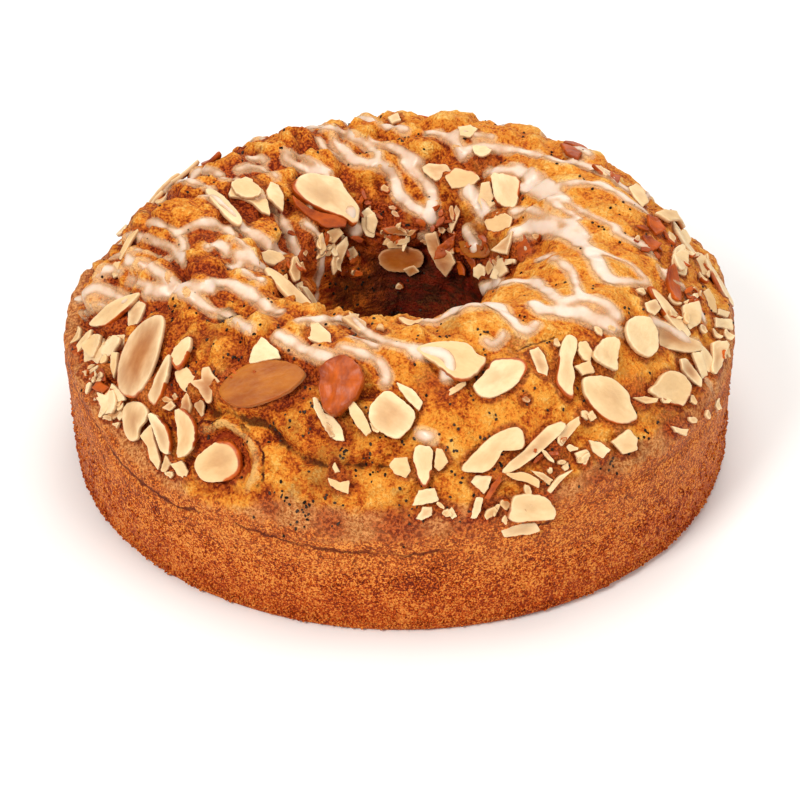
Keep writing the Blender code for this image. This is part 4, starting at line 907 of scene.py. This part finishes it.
def icingSheet():
    # only the net's cells under a strand are kept, and their edges dip below the crust
    flat, normal, rows = icingNet()
    wanted = np.zeros(len(flat), bool)
    for run, half in icingLines:
        near = np.where(nearLine(flat, run, icing["above"]))[0]
        wanted[near] |= lineDistance(flat[near], run) < half + icing["margin"]
    offset, known = np.zeros(len(flat)), np.zeros(len(flat))
    topTree = treeOf(softMesh, almondSlices.data, almondBits.data)
    for i in np.where(wanted)[0]:
        place, way = Vector(flat[i]), Vector(normal[i])
        hit, _, _, gone = topTree.ray_cast(place + way * icing["above"], -way, icing["searched"])
        if hit is not None:
            offset[i] = icing["above"] - gone
            known[i] = 1.0
    hits = flat + normal * offset[:, None]
    cover = np.zeros(len(flat))
    for index, (run, half) in enumerate(icingLines):
        near = np.where((known > 0) & nearLine(hits, run, half * 1.6 + 0.002))[0]
        if len(near) == 0:
            continue
        wander = noiseAt(hits[near], 260.0, index * 1.7)
        away = lineDistance(hits[near], run, normal[near]) / (half * (1.0 + 0.38 * wander))
        dome = np.clip(1.0 - away ** 2, 0, 1) ** 0.45 * (0.8 + 0.25 * min(2.0, half / 0.0014) + 0.2 * wander)
        cover[near] = np.sqrt(cover[near] ** 2 + dome ** 2)
    shape = (rows, icing["columns"])
    offset, known = offset.reshape(shape), known.reshape(shape)
    cover = spreadOut(np.minimum(cover, 1.7).reshape(shape), icing["soften"])
    level = spreadOut(offset * known, icing["drape"]) / np.maximum(spreadOut(known, icing["drape"]), 1e-6)
    top = 0.8 * level + 0.2 * offset + cover ** 0.8 * (icing["thickness"] + icing["sunk"]) - icing["sunk"]
    keep = ((cover > 0.02) & (known > 0)).reshape(-1)
    corners = netCells(rows, icing["columns"])[:-1]
    used, cells = np.unique(corners[keep[corners].all(axis=2)], return_inverse=True)
    places = (flat + normal * top.reshape(-1)[:, None])[used]
    mesh = meshFrom("icingDrizzle", places, cells.reshape(-1, 4), smooth=True)
    setAttribute(mesh, "depth", cover.reshape(-1)[used])
    return mesh


icingMesh = icingSheet()
icingDrizzle = plainObject("icingDrizzle", icingMesh)
print("icing triangles", len(icingMesh.polygons) * 2)


def patchMark(spots):
    # how near each place on the ring is to some spots of the picture, 0 to 1
    mark = np.zeros(len(ringPlaces))
    for (u, v), size, strength in spots:
        place = seen(cakeTree, u, v)
        if place is not None:
            mark = np.maximum(mark, strength * np.exp(-(awayFrom(ringPlaces, place) / size) ** 2))
    return mark


# spots of the picture where the crust is yellow, sticky with sugar, or thick with seeds
yellowSpots = [
    ((455, 400), 0.016, 1.0), ((510, 415), 0.012, 0.8), ((390, 445), 0.009, 0.7), ((560, 215), 0.01, 0.7),
    ((610, 270), 0.01, 0.6), ((650, 240), 0.008, 0.6), ((640, 160), 0.01, 0.6), ((380, 125), 0.008, 0.5),
    ((475, 440), 0.008, 0.5), ((240, 494), 0.009, 0.9), ((262, 470), 0.006, 0.6)]
sugarSpots = [
    ((370, 240), 0.01, 1.0), ((430, 230), 0.008, 1.0), ((395, 225), 0.006, 0.9), ((310, 250), 0.006, 0.9),
    ((470, 250), 0.008, 1.0), ((350, 260), 0.008, 0.8), ((400, 536), 0.009, 0.9), ((475, 530), 0.008, 0.9),
    ((545, 512), 0.008, 0.8), ((330, 526), 0.006, 0.8), ((600, 486), 0.007, 0.8), ((270, 505), 0.006, 0.7),
    ((290, 385), 0.008, 1.0), ((310, 375), 0.006, 1.0), ((205, 440), 0.007, 0.8), ((175, 380), 0.007, 0.9),
    ((240, 370), 0.01, 0.7), ((268, 350), 0.01, 0.5), ((95, 340), 0.01, 0.9), ((118, 330), 0.006, 0.9),
    ((300, 245), 0.01, 0.9), ((312, 262), 0.008, 0.9), ((330, 215), 0.008, 0.9), ((375, 215), 0.008, 0.8),
    ((640, 395), 0.008, 0.8), ((670, 420), 0.01, 0.7), ((545, 450), 0.008, 0.7), ((515, 350), 0.008, 0.6),
    ((480, 170), 0.01, 0.8), ((520, 260), 0.008, 0.7), ((540, 500), 0.008, 0.5), ((690, 380), 0.01, 0.7),
    ((660, 340), 0.008, 0.6), ((222, 465), 0.009, 0.9), ((430, 380), 0.007, 0.6), ((595, 350), 0.007, 0.6)]
seedySpots = [
    ((350, 430), 0.014, 0.9), ((330, 470), 0.016, 1.0), ((300, 495), 0.014, 0.8), ((210, 335), 0.012, 0.9),
    ((250, 345), 0.01, 0.8), ((450, 330), 0.009, 0.9), ((475, 410), 0.014, 0.7), ((610, 475), 0.01, 1.0),
    ((400, 500), 0.014, 0.7), ((560, 300), 0.008, 0.7), ((535, 265), 0.008, 0.8), ((345, 330), 0.008, 0.7),
    ((600, 205), 0.01, 0.7), ((420, 140), 0.01, 0.6), ((500, 150), 0.009, 0.6), ((360, 285), 0.009, 0.9),
    ((400, 300), 0.008, 0.7), ((170, 330), 0.008, 0.7), ((470, 500), 0.012, 0.6), ((555, 470), 0.008, 0.8),
    ((640, 450), 0.009, 0.9), ((290, 430), 0.01, 0.9), ((400, 180), 0.012, 0.5), ((240, 150), 0.01, 0.5),
    ((345, 292), 0.009, 1.0), ((378, 272), 0.008, 0.9), ((425, 292), 0.008, 0.7), ((205, 300), 0.008, 0.8),
    ((245, 290), 0.008, 0.8), ((530, 180), 0.008, 0.6)]
for name, spots in (("yellow", yellowSpots), ("sugar", sugarSpots), ("seedy", seedySpots)):
    ringMarks[name] = patchMark(spots)
# a caramelised edge with painted contact shadow where the crust meets an almond
haloReach = 0.003
almondTree = treeOf(almondSlices.data, almondBits.data)
ringMarks["halo"] = np.zeros(len(ringPlaces))
for index in onCrown:
    away = almondTree.find_nearest(Vector(ringPlaces[index]), haloReach)[3]
    if away is not None:
        ringMarks["halo"][index] = 1.0 - away / haloReach
for name, values in ringMarks.items():
    setAttribute(cakeMesh, name, values)
cakeBody = plainObject("cakeBody", cakeMesh)
print("marks set")


def addNode(tree, kind, settings=None, values=None):
    # one node: its settings first, then the values or links of its sockets
    node = tree.nodes.new(kind)
    for key, value in (settings or {}).items():
        if key == "stops":
            while len(node.color_ramp.elements) < len(value):
                node.color_ramp.elements.new(0.5)
            for element, (position, colour) in zip(node.color_ramp.elements, value):
                element.position, element.color = position, colour
        else:
            setattr(node, key, value)
    for key, value in (values or {}).items():
        if isinstance(value, bpy.types.NodeSocket):
            tree.links.new(value, node.inputs[key])
        else:
            node.inputs[key].default_value = value
    return node


def sumOf(operation, swapped=False):
    # an operator that adds its Math node
    def apply(value, other):
        first, second = (other, value) if swapped else (value, other)
        return value.finish.add("ShaderNodeMath", {"operation": operation}, {0: first, 1: second})
    return apply


class Value:
    # one socket of a finish, so that sums on it become nodes
    def __init__(self, finish, socket):
        self.finish, self.socket = finish, socket

    __add__, __radd__ = sumOf("ADD"), sumOf("ADD", True)
    __sub__, __rsub__ = sumOf("SUBTRACT"), sumOf("SUBTRACT", True)
    __mul__, __rmul__ = sumOf("MULTIPLY"), sumOf("MULTIPLY", True)
    larger = sumOf("MAXIMUM")

    def __abs__(self):
        return self.finish.add("ShaderNodeMath", {"operation": "ABSOLUTE"}, {0: self})

    def between(self, low, high):
        return self.finish.add("ShaderNodeMapRange", {"interpolation_type": "SMOOTHSTEP"},
                               {0: self, 1: low, 2: high, 3: 0.0, 4: 1.0})


class Finish:
    # one material: a Principled shader and the nodes that feed it
    def __init__(self, name, **settings):
        self.material = bpy.data.materials.new(name)
        self.material.use_nodes = True
        self.tree = self.material.node_tree
        self.shader = self.tree.nodes["Principled BSDF"]
        for key, value in settings.items():
            self.shader.inputs[key.replace("_", " ")].default_value = value

    def add(self, kind, settings=None, values=None, output=0):
        plain = {key: value.socket if isinstance(value, Value) else value
                 for key, value in (values or {}).items()}
        return Value(self, addNode(self.tree, kind, settings, plain).outputs[output])

    def place(self):
        return self.add("ShaderNodeTexCoord", output=3)

    def mark(self, name):
        return self.add("ShaderNodeAttribute", {"attribute_name": name}, output=2)

    def grain(self, scale, detail=3.0, rough=0.55, where=None):
        return self.add("ShaderNodeTexNoise", None, {"Vector": where or self.place(), "Scale": scale,
                                                     "Detail": detail, "Roughness": rough})

    def pores(self, scale):
        return self.add("ShaderNodeTexVoronoi", {"feature": "F1"}, {"Vector": self.place(), "Scale": scale})

    def ramp(self, stops, value):
        return self.add("ShaderNodeValToRGB", {"stops": stops}, {0: value})

    def blend(self, amount, first, second):
        return self.add("ShaderNodeMix", {"data_type": "RGBA"}, {0: amount, 6: first, 7: second}, output=2)

    def layered(self, colour, *layers):
        # each layer is an amount and the colour that it lays over what is there
        for amount, over in layers:
            colour = self.blend(amount, colour, over)
        return colour

    def bump(self, height, depth, **below):
        values = {"Height": height, "Distance": depth, "Strength": 1.0, **below}
        return self.add("ShaderNodeBump", None, values)

    def feed(self, **links):
        for key, value in links.items():
            self.tree.links.new(value.socket, self.shader.inputs[key.replace("_", " ")])


def tint(red, green, blue):
    # a colour read as 0 to 255 on screen, as the linear values that shaders take
    def linear(c):
        c /= 255
        return c / 12.92 if c <= 0.04045 else ((c + 0.055) / 1.055) ** 2.4
    return linear(red), linear(green), linear(blue), 1.0


crust = dict(roughness=0.60, wetter=0.30, yellow=tint(222, 136, 20), glaze=tint(236, 198, 150),
             sugar=tint(150, 46, 10), ledge=tint(222, 152, 94), ledgeDark=tint(150, 74, 34),
             batterLit=tint(232, 178, 104), darkestBrown=tint(62, 16, 5), dusk=tint(112, 52, 18),
             russet=tint(184, 78, 24), russetDark=tint(108, 28, 8),
             throat=tint(206, 92, 26), throatDark=tint(122, 26, 4),
             # the hole's colours are partly its own dark red-brown crust and partly painted light and shade:
             # orange on its lit left, near black on its shaded right
             throatRightShade=tint(104, 10, 2), wallFoot=tint(168, 58, 6), wallTop=tint(184, 100, 48),
             # the pan line's colour is painted shadow in its crack
             panLine=tint(92, 28, 8), hole=tint(255, 138, 40), holeMiddle=tint(140, 28, 1),
             holeRightShade=tint(108, 10, 0), holeShadeDarkest=tint(24, 0, 0))
crownStops = [(0.30, tint(112, 34, 5)), (0.38, tint(186, 86, 18)), (0.44, tint(220, 130, 38)),
              (0.52, tint(232, 156, 60)), (0.62, tint(247, 197, 110))]
wallStops = [(0.43, tint(80, 18, 2)), (0.475, tint(166, 62, 8)), (0.515, tint(210, 94, 18)),
             (0.565, tint(250, 164, 74))]


def crustFinish():
    f = Finish("bakedCrust", Roughness=crust["roughness"], Specular_IOR_Level=0.12)
    c = crust
    crown, crease, baked, hole, seedy, yellow, sugar = (
        f.mark(name) for name in ("crown", "crease", "baked", "hole", "seedy", "yellow", "sugar"))
    across = f.add("ShaderNodeSeparateXYZ", None, {0: f.place()})
    level = f.add("ShaderNodeSeparateXYZ", None, {0: f.place()}, output=2)
    # noises from coarse to fine
    patch, spot = f.grain(110.0, 3.0, 0.6), f.grain(330.0, 4.0, 0.6)
    speck, sand = f.grain(900.0, 3.0, 0.6), f.grain(1500.0, 2.0, 0.6)
    grains = 0.50 - f.pores(1250.0)
    # the crown runs from dark in its creases to pale on its lumps: painted shade in the creases and painted
    # light on the lump tops, over noise in the crust's own colours
    mixed = patch * 0.31 + spot * 0.25 + speck * 0.26 + sand * 0.26 + grains * (baked * 0.07 + 0.08)
    mixed = mixed + f.mark("lump") * 0.14 - crease * 0.14 - baked * 0.026 + yellow * 0.020 - 0.082
    russet = f.blend((speck * 0.5 + sand * 0.5 + grains * 0.3).between(0.42, 0.58),
                     c["russetDark"], c["russet"])
    sandy = f.blend((speck * 0.4 + sand * 0.6).between(0.40, 0.60), c["ledgeDark"], c["ledge"])
    reddish = f.blend((speck * 0.5 + spot * 0.5).between(0.42, 0.58), c["throatDark"], c["throat"])
    # painted shade: the hole's throat is darker on its right
    throat = f.blend((across + spot * 0.01).between(-0.004, 0.018), reddish, c["throatRightShade"])
    around = f.mark("ridge") + spot * 0.5 - 0.25
    lip = f.mark("ridgeSide")
    # painted shadow along the splits and pits
    torn = (f.mark("split") * 2.4 + spot * 1.2 + patch * 0.5 - 2.72).between(0.0, 0.35)
    deep = crease * 0.7 + spot * 0.6
    top = f.layered(
        f.ramp(crownStops, mixed),
        (yellow * mixed.between(0.42, 0.60) * 0.6, c["yellow"]),
        ((f.mark("ledge") + patch * 1.2 + spot * 0.5 - 1.15).between(0.0, 0.5) * 0.85, sandy),
        # the ridge round the sunken slice is painted on: a pale crest line, partly the torn batter's colour
        # and partly painted light, with painted shade as a darker red-brown band inside it and a darkest
        # brown line outside it
        ((0.24 - abs(around)).between(0.0, 0.12) * lip * 0.85, c["batterLit"]),
        ((0.22 - abs(around + 0.52)).between(0.0, 0.12) * lip * 0.85, c["sugar"]),
        ((0.10 - abs(around - 0.34)).between(0.0, 0.06) * lip * patch.between(0.44, 0.58), c["darkestBrown"]),
        ((seedy + spot + patch * 0.6 - 1.40).between(0.0, 0.5) * 0.55, c["dusk"]),
        ((sugar + spot * 0.8 + sand * 0.9 - 1.0).between(0.1, 0.6) * 0.8, russet),
        ((f.mark("throat") + patch * 1.2 + spot * 0.6 - 1.35).between(0.0, 0.5) * 0.66, throat),
        # painted shade: the dish round the sunken slice is darkened red-brown
        ((f.mark("dish") + spot * 1.2 - 1.0).between(0.0, 0.6) * 0.8, c["sugar"]),
        # painted contact shadow, with some caramel colour, round the almonds
        ((f.mark("halo") + spot * 0.9 + patch * 0.7 - 1.12).between(0.0, 0.40) * 0.80, russet),
        # painted shade: russet in the deep creases, darkest brown in the deepest creases and the splits
        ((deep + patch * 0.3 + baked * 0.32 - 1.02).between(0.0, 0.34) * 0.85, russet),
        ((deep - 1.0).between(0.0, 0.3).larger(torn) * 0.85, c["darkestBrown"]))
    # the wall is sandy, redder towards its foot and duller under the crown
    sandiness = f.grain(2000.0, 2.0, 0.6) * 0.52 + speck * 0.30 + patch * 0.18 + grains * 0.08 + 0.004
    side = f.layered(
        f.ramp(wallStops, sandiness),
        ((0.028 - level).between(0.0, 0.024) * 0.40, c["wallFoot"]),
        ((level + patch * 0.02 - 0.012).between(0.014, 0.026) * 0.30, c["wallTop"]))
    edge = (crown + spot * 0.9 + patch * 0.8 - 0.75).between(0.10, 0.50) * crown.between(0.0, 0.02)
    # painted shadow: a dark ragged line along the crack at the pan line
    crack = (0.20 - abs(f.mark("seam") + spot + patch * 0.6 - 0.80)).between(0.0, 0.14)
    # streaks run round the hole; its left side is painted lit and its right side painted in shade, darkest
    # in the streaks
    flattened = f.add("ShaderNodeVectorMath", {"operation": "MULTIPLY"},
                      {0: f.place(), 1: (0.35, 0.35, 1.6)})
    streak = f.grain(420.0, 4.0, 0.65, where=flattened) * 0.6 + spot * 0.4
    inside = f.blend((across + patch * 0.016 - 0.008).between(-0.020, -0.003),
                     f.blend(streak.between(0.40, 0.58), c["holeMiddle"], c["hole"]),
                     f.blend(streak.between(0.40, 0.62), c["holeShadeDarkest"], c["holeRightShade"]))
    # near-black patches in the hole where the seeds lie thick
    holeBlackPatches = (seedy + spot * 1.2 + speck * 0.6 - 1.40).between(0.0, 0.4) * hole
    thin = (f.mark("film") + spot * 0.5 + patch * 0.35 - 0.6).between(0.25, 0.8)
    colour = f.layered(
        side, (edge, top), (crack * f.grain(48.0, 2.0).between(0.38, 0.52) * 0.9, c["panLine"]),
        (hole * 0.9, inside), (holeBlackPatches * 0.8, c["darkestBrown"]), (thin * 0.55, c["glaze"]))
    wet = thin.larger(sugar * 0.8)
    grainy = f.bump(spot * 0.5 + speck * 0.5, 0.0012)
    f.feed(Base_Color=colour, Roughness=crust["roughness"] - wet * crust["wetter"],
           Normal=f.bump(sand + grains * 0.5, 0.0006, Normal=grainy))
    return f.material


# the border colour is partly the almond's paler edge and partly painted highlight; the rim colour on a
# slice's sides is partly brown skin and partly painted contact shadow
almond = dict(pale=tint(244, 218, 174), warm=tint(234, 194, 140), cloud=tint(202, 154, 92),
              amber=tint(180, 102, 14), amberDark=tint(150, 72, 3), border=tint(240, 220, 182),
              rim=tint(176, 106, 48), fibre=tint(190, 138, 80), skinDark=tint(108, 26, 2),
              skin=tint(202, 92, 10))


def almondFinish():
    f = Finish("slicedAlmond", Roughness=0.42, Subsurface_Weight=0.10, Subsurface_Scale=0.002,
               Subsurface_Radius=(1.0, 0.7, 0.4), Specular_IOR_Level=0.35)
    a = almond
    rim, toast, tone, heart = (f.mark(name) for name in ("rim", "toast", "tone", "heart"))
    where = f.add("ShaderNodeCombineXYZ", None,
                  {0: f.mark("grainX") * 0.55, 1: f.mark("grainY"), 2: tone * 9.0})
    fibre, cloud = f.grain(1000.0, 3.0, 0.6, where=where), f.grain(230.0, 3.0, 0.5, where=where)
    amber = f.blend(cloud.between(0.25, 0.75), a["amber"], a["amberDark"])
    peel = (f.mark("skin") * 1.3 + cloud * 0.6 - 0.50).between(0.15, 0.50)
    brown = f.blend((fibre * 0.3 + cloud * 0.7).between(0.20, 0.76), a["skinDark"], a["skin"])
    # a pale band along the top's edge, partly the almond's own and partly painted highlight; the sides
    # browner towards the bottom, partly skin and partly painted contact shadow
    colour = f.layered(
        f.blend(tone, a["pale"], a["warm"]),
        ((cloud + heart * 0.15).between(0.40, 0.70) * 0.30, a["cloud"]),
        ((toast * 1.25 + cloud * 0.4 + heart * 0.45 - 0.57).between(0.0, 1.0) * (1.0 - rim * 0.75), amber),
        ((1.0 - heart).between(0.75, 0.98) * (1.0 - rim) * (0.34 - toast * 0.30), a["border"]),
        (rim * 0.6, a["rim"]), (fibre.between(0.42, 0.75) * 0.14, a["fibre"]), (peel, brown))
    f.feed(Base_Color=colour, Roughness=0.5 - peel * 0.08, Normal=f.bump(fibre + cloud * 2.5, 0.00014))
    return f.material


def icingFinish():
    f = Finish("sugarIcing", Roughness=0.30, Subsurface_Weight=0.15, Subsurface_Scale=0.003,
               Specular_IOR_Level=0.40)
    thick = f.mark("depth") * 0.75 + f.grain(170.0, 3.0) * 0.9
    base = f.blend((thick - 0.80).between(0.0, 0.7), tint(222, 174, 130), tint(233, 212, 195))
    f.feed(Base_Color=base, Alpha=(thick - 0.61).between(0.0, 0.66) * 0.94)
    return f.material


def seedFinish():
    f = Finish("poppySeed", Roughness=0.7, Specular_IOR_Level=0.1)
    f.feed(Base_Color=f.blend(f.grain(160.0, 2.0).between(0.4, 0.6), tint(20, 14, 11), tint(66, 50, 42)))
    return f.material


def floorFinish():
    f = Finish("paleFloor", Roughness=0.6)
    f.feed(Base_Color=f.blend(f.grain(6.0, 2.0), tint(250, 250, 250), tint(246, 246, 247)))
    return f.material


crustMaterial, almondMaterial = crustFinish(), almondFinish()
for mesh, material in ((cakeMesh, crustMaterial), (almondSlices.data, almondMaterial),
                       (almondBits.data, almondMaterial), (icingMesh, icingFinish())):
    mesh.materials.append(material)
print("finishes made")

# poppy seeds over the crown, and crumbs of crust on the outer wall, thickest along its foot
seeds = dict(size=0.00046, density=480000.0, seed=5)
crumbs = dict(size=0.00056, density=1300000.0, seed=8)
grainShape = dict(detail=1, stretch=(1.25, 0.85, 0.85), least=0.75, most=1.2)


def scatterTree(name, material):
    tree = bpy.data.node_groups.new(name, "GeometryNodeTree")
    face = tree.interface
    face.new_socket("Geometry", in_out="INPUT", socket_type="NodeSocketGeometry")
    face.new_socket("Geometry", in_out="OUTPUT", socket_type="NodeSocketGeometry")
    sockets = {}
    for label, kind in (("Size", "Float"), ("Density", "Float"), ("Seed", "Int")):
        made = face.new_socket(label, in_out="INPUT", socket_type="NodeSocket" + kind)
        sockets[label] = made.identifier

    def add(kind, settings=None, **values):
        return addNode(tree, kind, settings, values).outputs

    start = add("NodeGroupInput")
    share = add("GeometryNodeInputNamedAttribute", {"data_type": "FLOAT"}, Name="share")
    amount = addNode(tree, "ShaderNodeMath", {"operation": "MULTIPLY"},
                     {0: share["Attribute"], 1: start["Density"]})
    spots = add("GeometryNodeDistributePointsOnFaces", Mesh=start["Geometry"], Density=amount.outputs[0],
                Seed=start["Seed"])
    ball = add("GeometryNodeMeshIcoSphere", Subdivisions=grainShape["detail"], Radius=start["Size"])
    grain = add("GeometryNodeTransform", Geometry=ball["Mesh"], Scale=grainShape["stretch"])
    spin = add("FunctionNodeRandomValue", {"data_type": "FLOAT_VECTOR"}, Max=(6.28, 6.28, 6.28))
    grow = addNode(tree, "FunctionNodeRandomValue", {"data_type": "FLOAT"},
                   {2: grainShape["least"], 3: grainShape["most"]})
    put = add("GeometryNodeInstanceOnPoints", Points=spots["Points"], Instance=grain["Geometry"],
              Rotation=spin["Value"], Scale=grow.outputs[1])
    real = add("GeometryNodeRealizeInstances", Geometry=put["Instances"])
    paint = add("GeometryNodeSetMaterial", Geometry=real["Geometry"], Material=material)
    add("NodeGroupOutput", Geometry=paint["Geometry"])
    return tree, sockets


def scattered(name, share, settings, material):
    # a copy of the ring carries how thickly the grains lie; the modifier's result is then a plain mesh
    mesh = meshFrom(name + "Base", ringPlaces, ringFaces)
    setAttribute(mesh, "share", share)
    setAttribute(mesh, "seam", ringMarks["seam"])
    obj = plainObject(name, mesh)
    tree, sockets = scatterTree(name, material)
    modifier = obj.modifiers.new(name, "NODES")
    modifier.node_group = tree
    for label, key in (("Size", "size"), ("Density", "density"), ("Seed", "seed")):
        modifier[sockets[label]] = settings[key]
    bpy.context.view_layer.update()
    obj.data = bpy.data.meshes.new_from_object(obj.evaluated_get(bpy.context.evaluated_depsgraph_get()))
    obj.modifiers.clear()
    obj.data.shade_smooth()
    print(name, len(obj.data.polygons), "triangles")
    return obj


ringLevel = ringPlaces[:, 2]
seedShare = np.maximum(ringMarks["crown"], ringMarks["throat"]) * (0.08 + 0.92 * ringMarks["seedy"])
seedShare *= 1.0 - 0.6 * ringMarks["film"]
seedShare *= eased(noiseAt(ringPlaces, 260.0, 8.8), 0.06, 0.50) * eased(ringLevel, 0.0030, 0.0060)
poppySeeds = scattered("poppySeeds", seedShare, seeds, seedFinish())
crumbShare = eased(ringLevel, 0.0012, 0.0022) * (1.0 - 0.90 * eased(ringLevel, 0.0025, 0.0050))
crumbShare *= 1.0 - eased(ringLevel, 0.0200, 0.0260)
crumbShare *= np.hypot(ringPlaces[:, 0], ringPlaces[:, 1]) > 0.08
wallCrumbs = scattered("wallCrumbs", crumbShare, crumbs, crustMaterial)

# floor, lights and camera; a light's values are its place, aim, width and power
studio = dict(floor=1.6, floorLevel=-0.0002, lightColour=(1.0, 0.97, 0.91), sky=0.36, sensor=36.0,
              picture=800)
lights = dict(keyLight=((-0.55, -0.75, 0.85), (0, 0, 0.03), 0.36, 9.8),
              fillLight=((0.85, -0.65, 0.50), (0, 0, 0.03), 0.70, 4.0),
              topLight=((0.05, 0.10, 1.05), (0, 0, 0.03), 0.60, 4.7),
              rearLight=((0.25, 0.95, 0.60), (0, 0, 0.05), 0.60, 3.0))

corners = [(x * studio["floor"], y * studio["floor"], studio["floorLevel"])
           for x, y in ((-1, -1), (1, -1), (1, 1), (-1, 1))]
floorMesh = meshFrom("floor", corners, [(0, 1, 2, 3)])
floorMesh.materials.append(floorFinish())
plainObject("floor", floorMesh)
for name, (place, aim, width, power) in lights.items():
    light = bpy.data.lights.new(name, "AREA")
    light.shape, light.size, light.energy, light.color = "SQUARE", width, power, studio["lightColour"]
    lamp = plainObject(name, light)
    lamp.location = place
    lamp.rotation_euler = (Vector(aim) - Vector(place)).to_track_quat("-Z", "Y").to_euler()
world = bpy.data.worlds.new("studioSky")
world.use_nodes = True
sky = world.node_tree.nodes["Background"].inputs
sky["Color"].default_value = (1.0, 1.0, 1.0, 1.0)
sky["Strength"].default_value = studio["sky"]
bpy.context.scene.world = world
bpy.context.scene.view_settings.view_transform = "Standard"

camera = bpy.data.cameras.new("camera")
camera.sensor_width = studio["sensor"]
camera.lens = viewPoint["focal"] / studio["picture"] * studio["sensor"]
camera.clip_start = 0.01
cameraObject = plainObject("camera", camera)
cameraObject.location = eye
cameraObject.rotation_euler = (math.pi / 2 - tilt, 0, 0)
bpy.context.scene.camera = cameraObject

# each piece hangs from the root body
for piece, slotName in ((cakeBody, "crust"), (almondSlices, "almond"), (almondBits, "almond"),
                        (icingDrizzle, "crust"), (poppySeeds, "crust"), (wallCrumbs, "crust")):
    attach(piece, "root")
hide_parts("cake")
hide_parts(*sliceNodes)
bpy.context.view_layer.update()
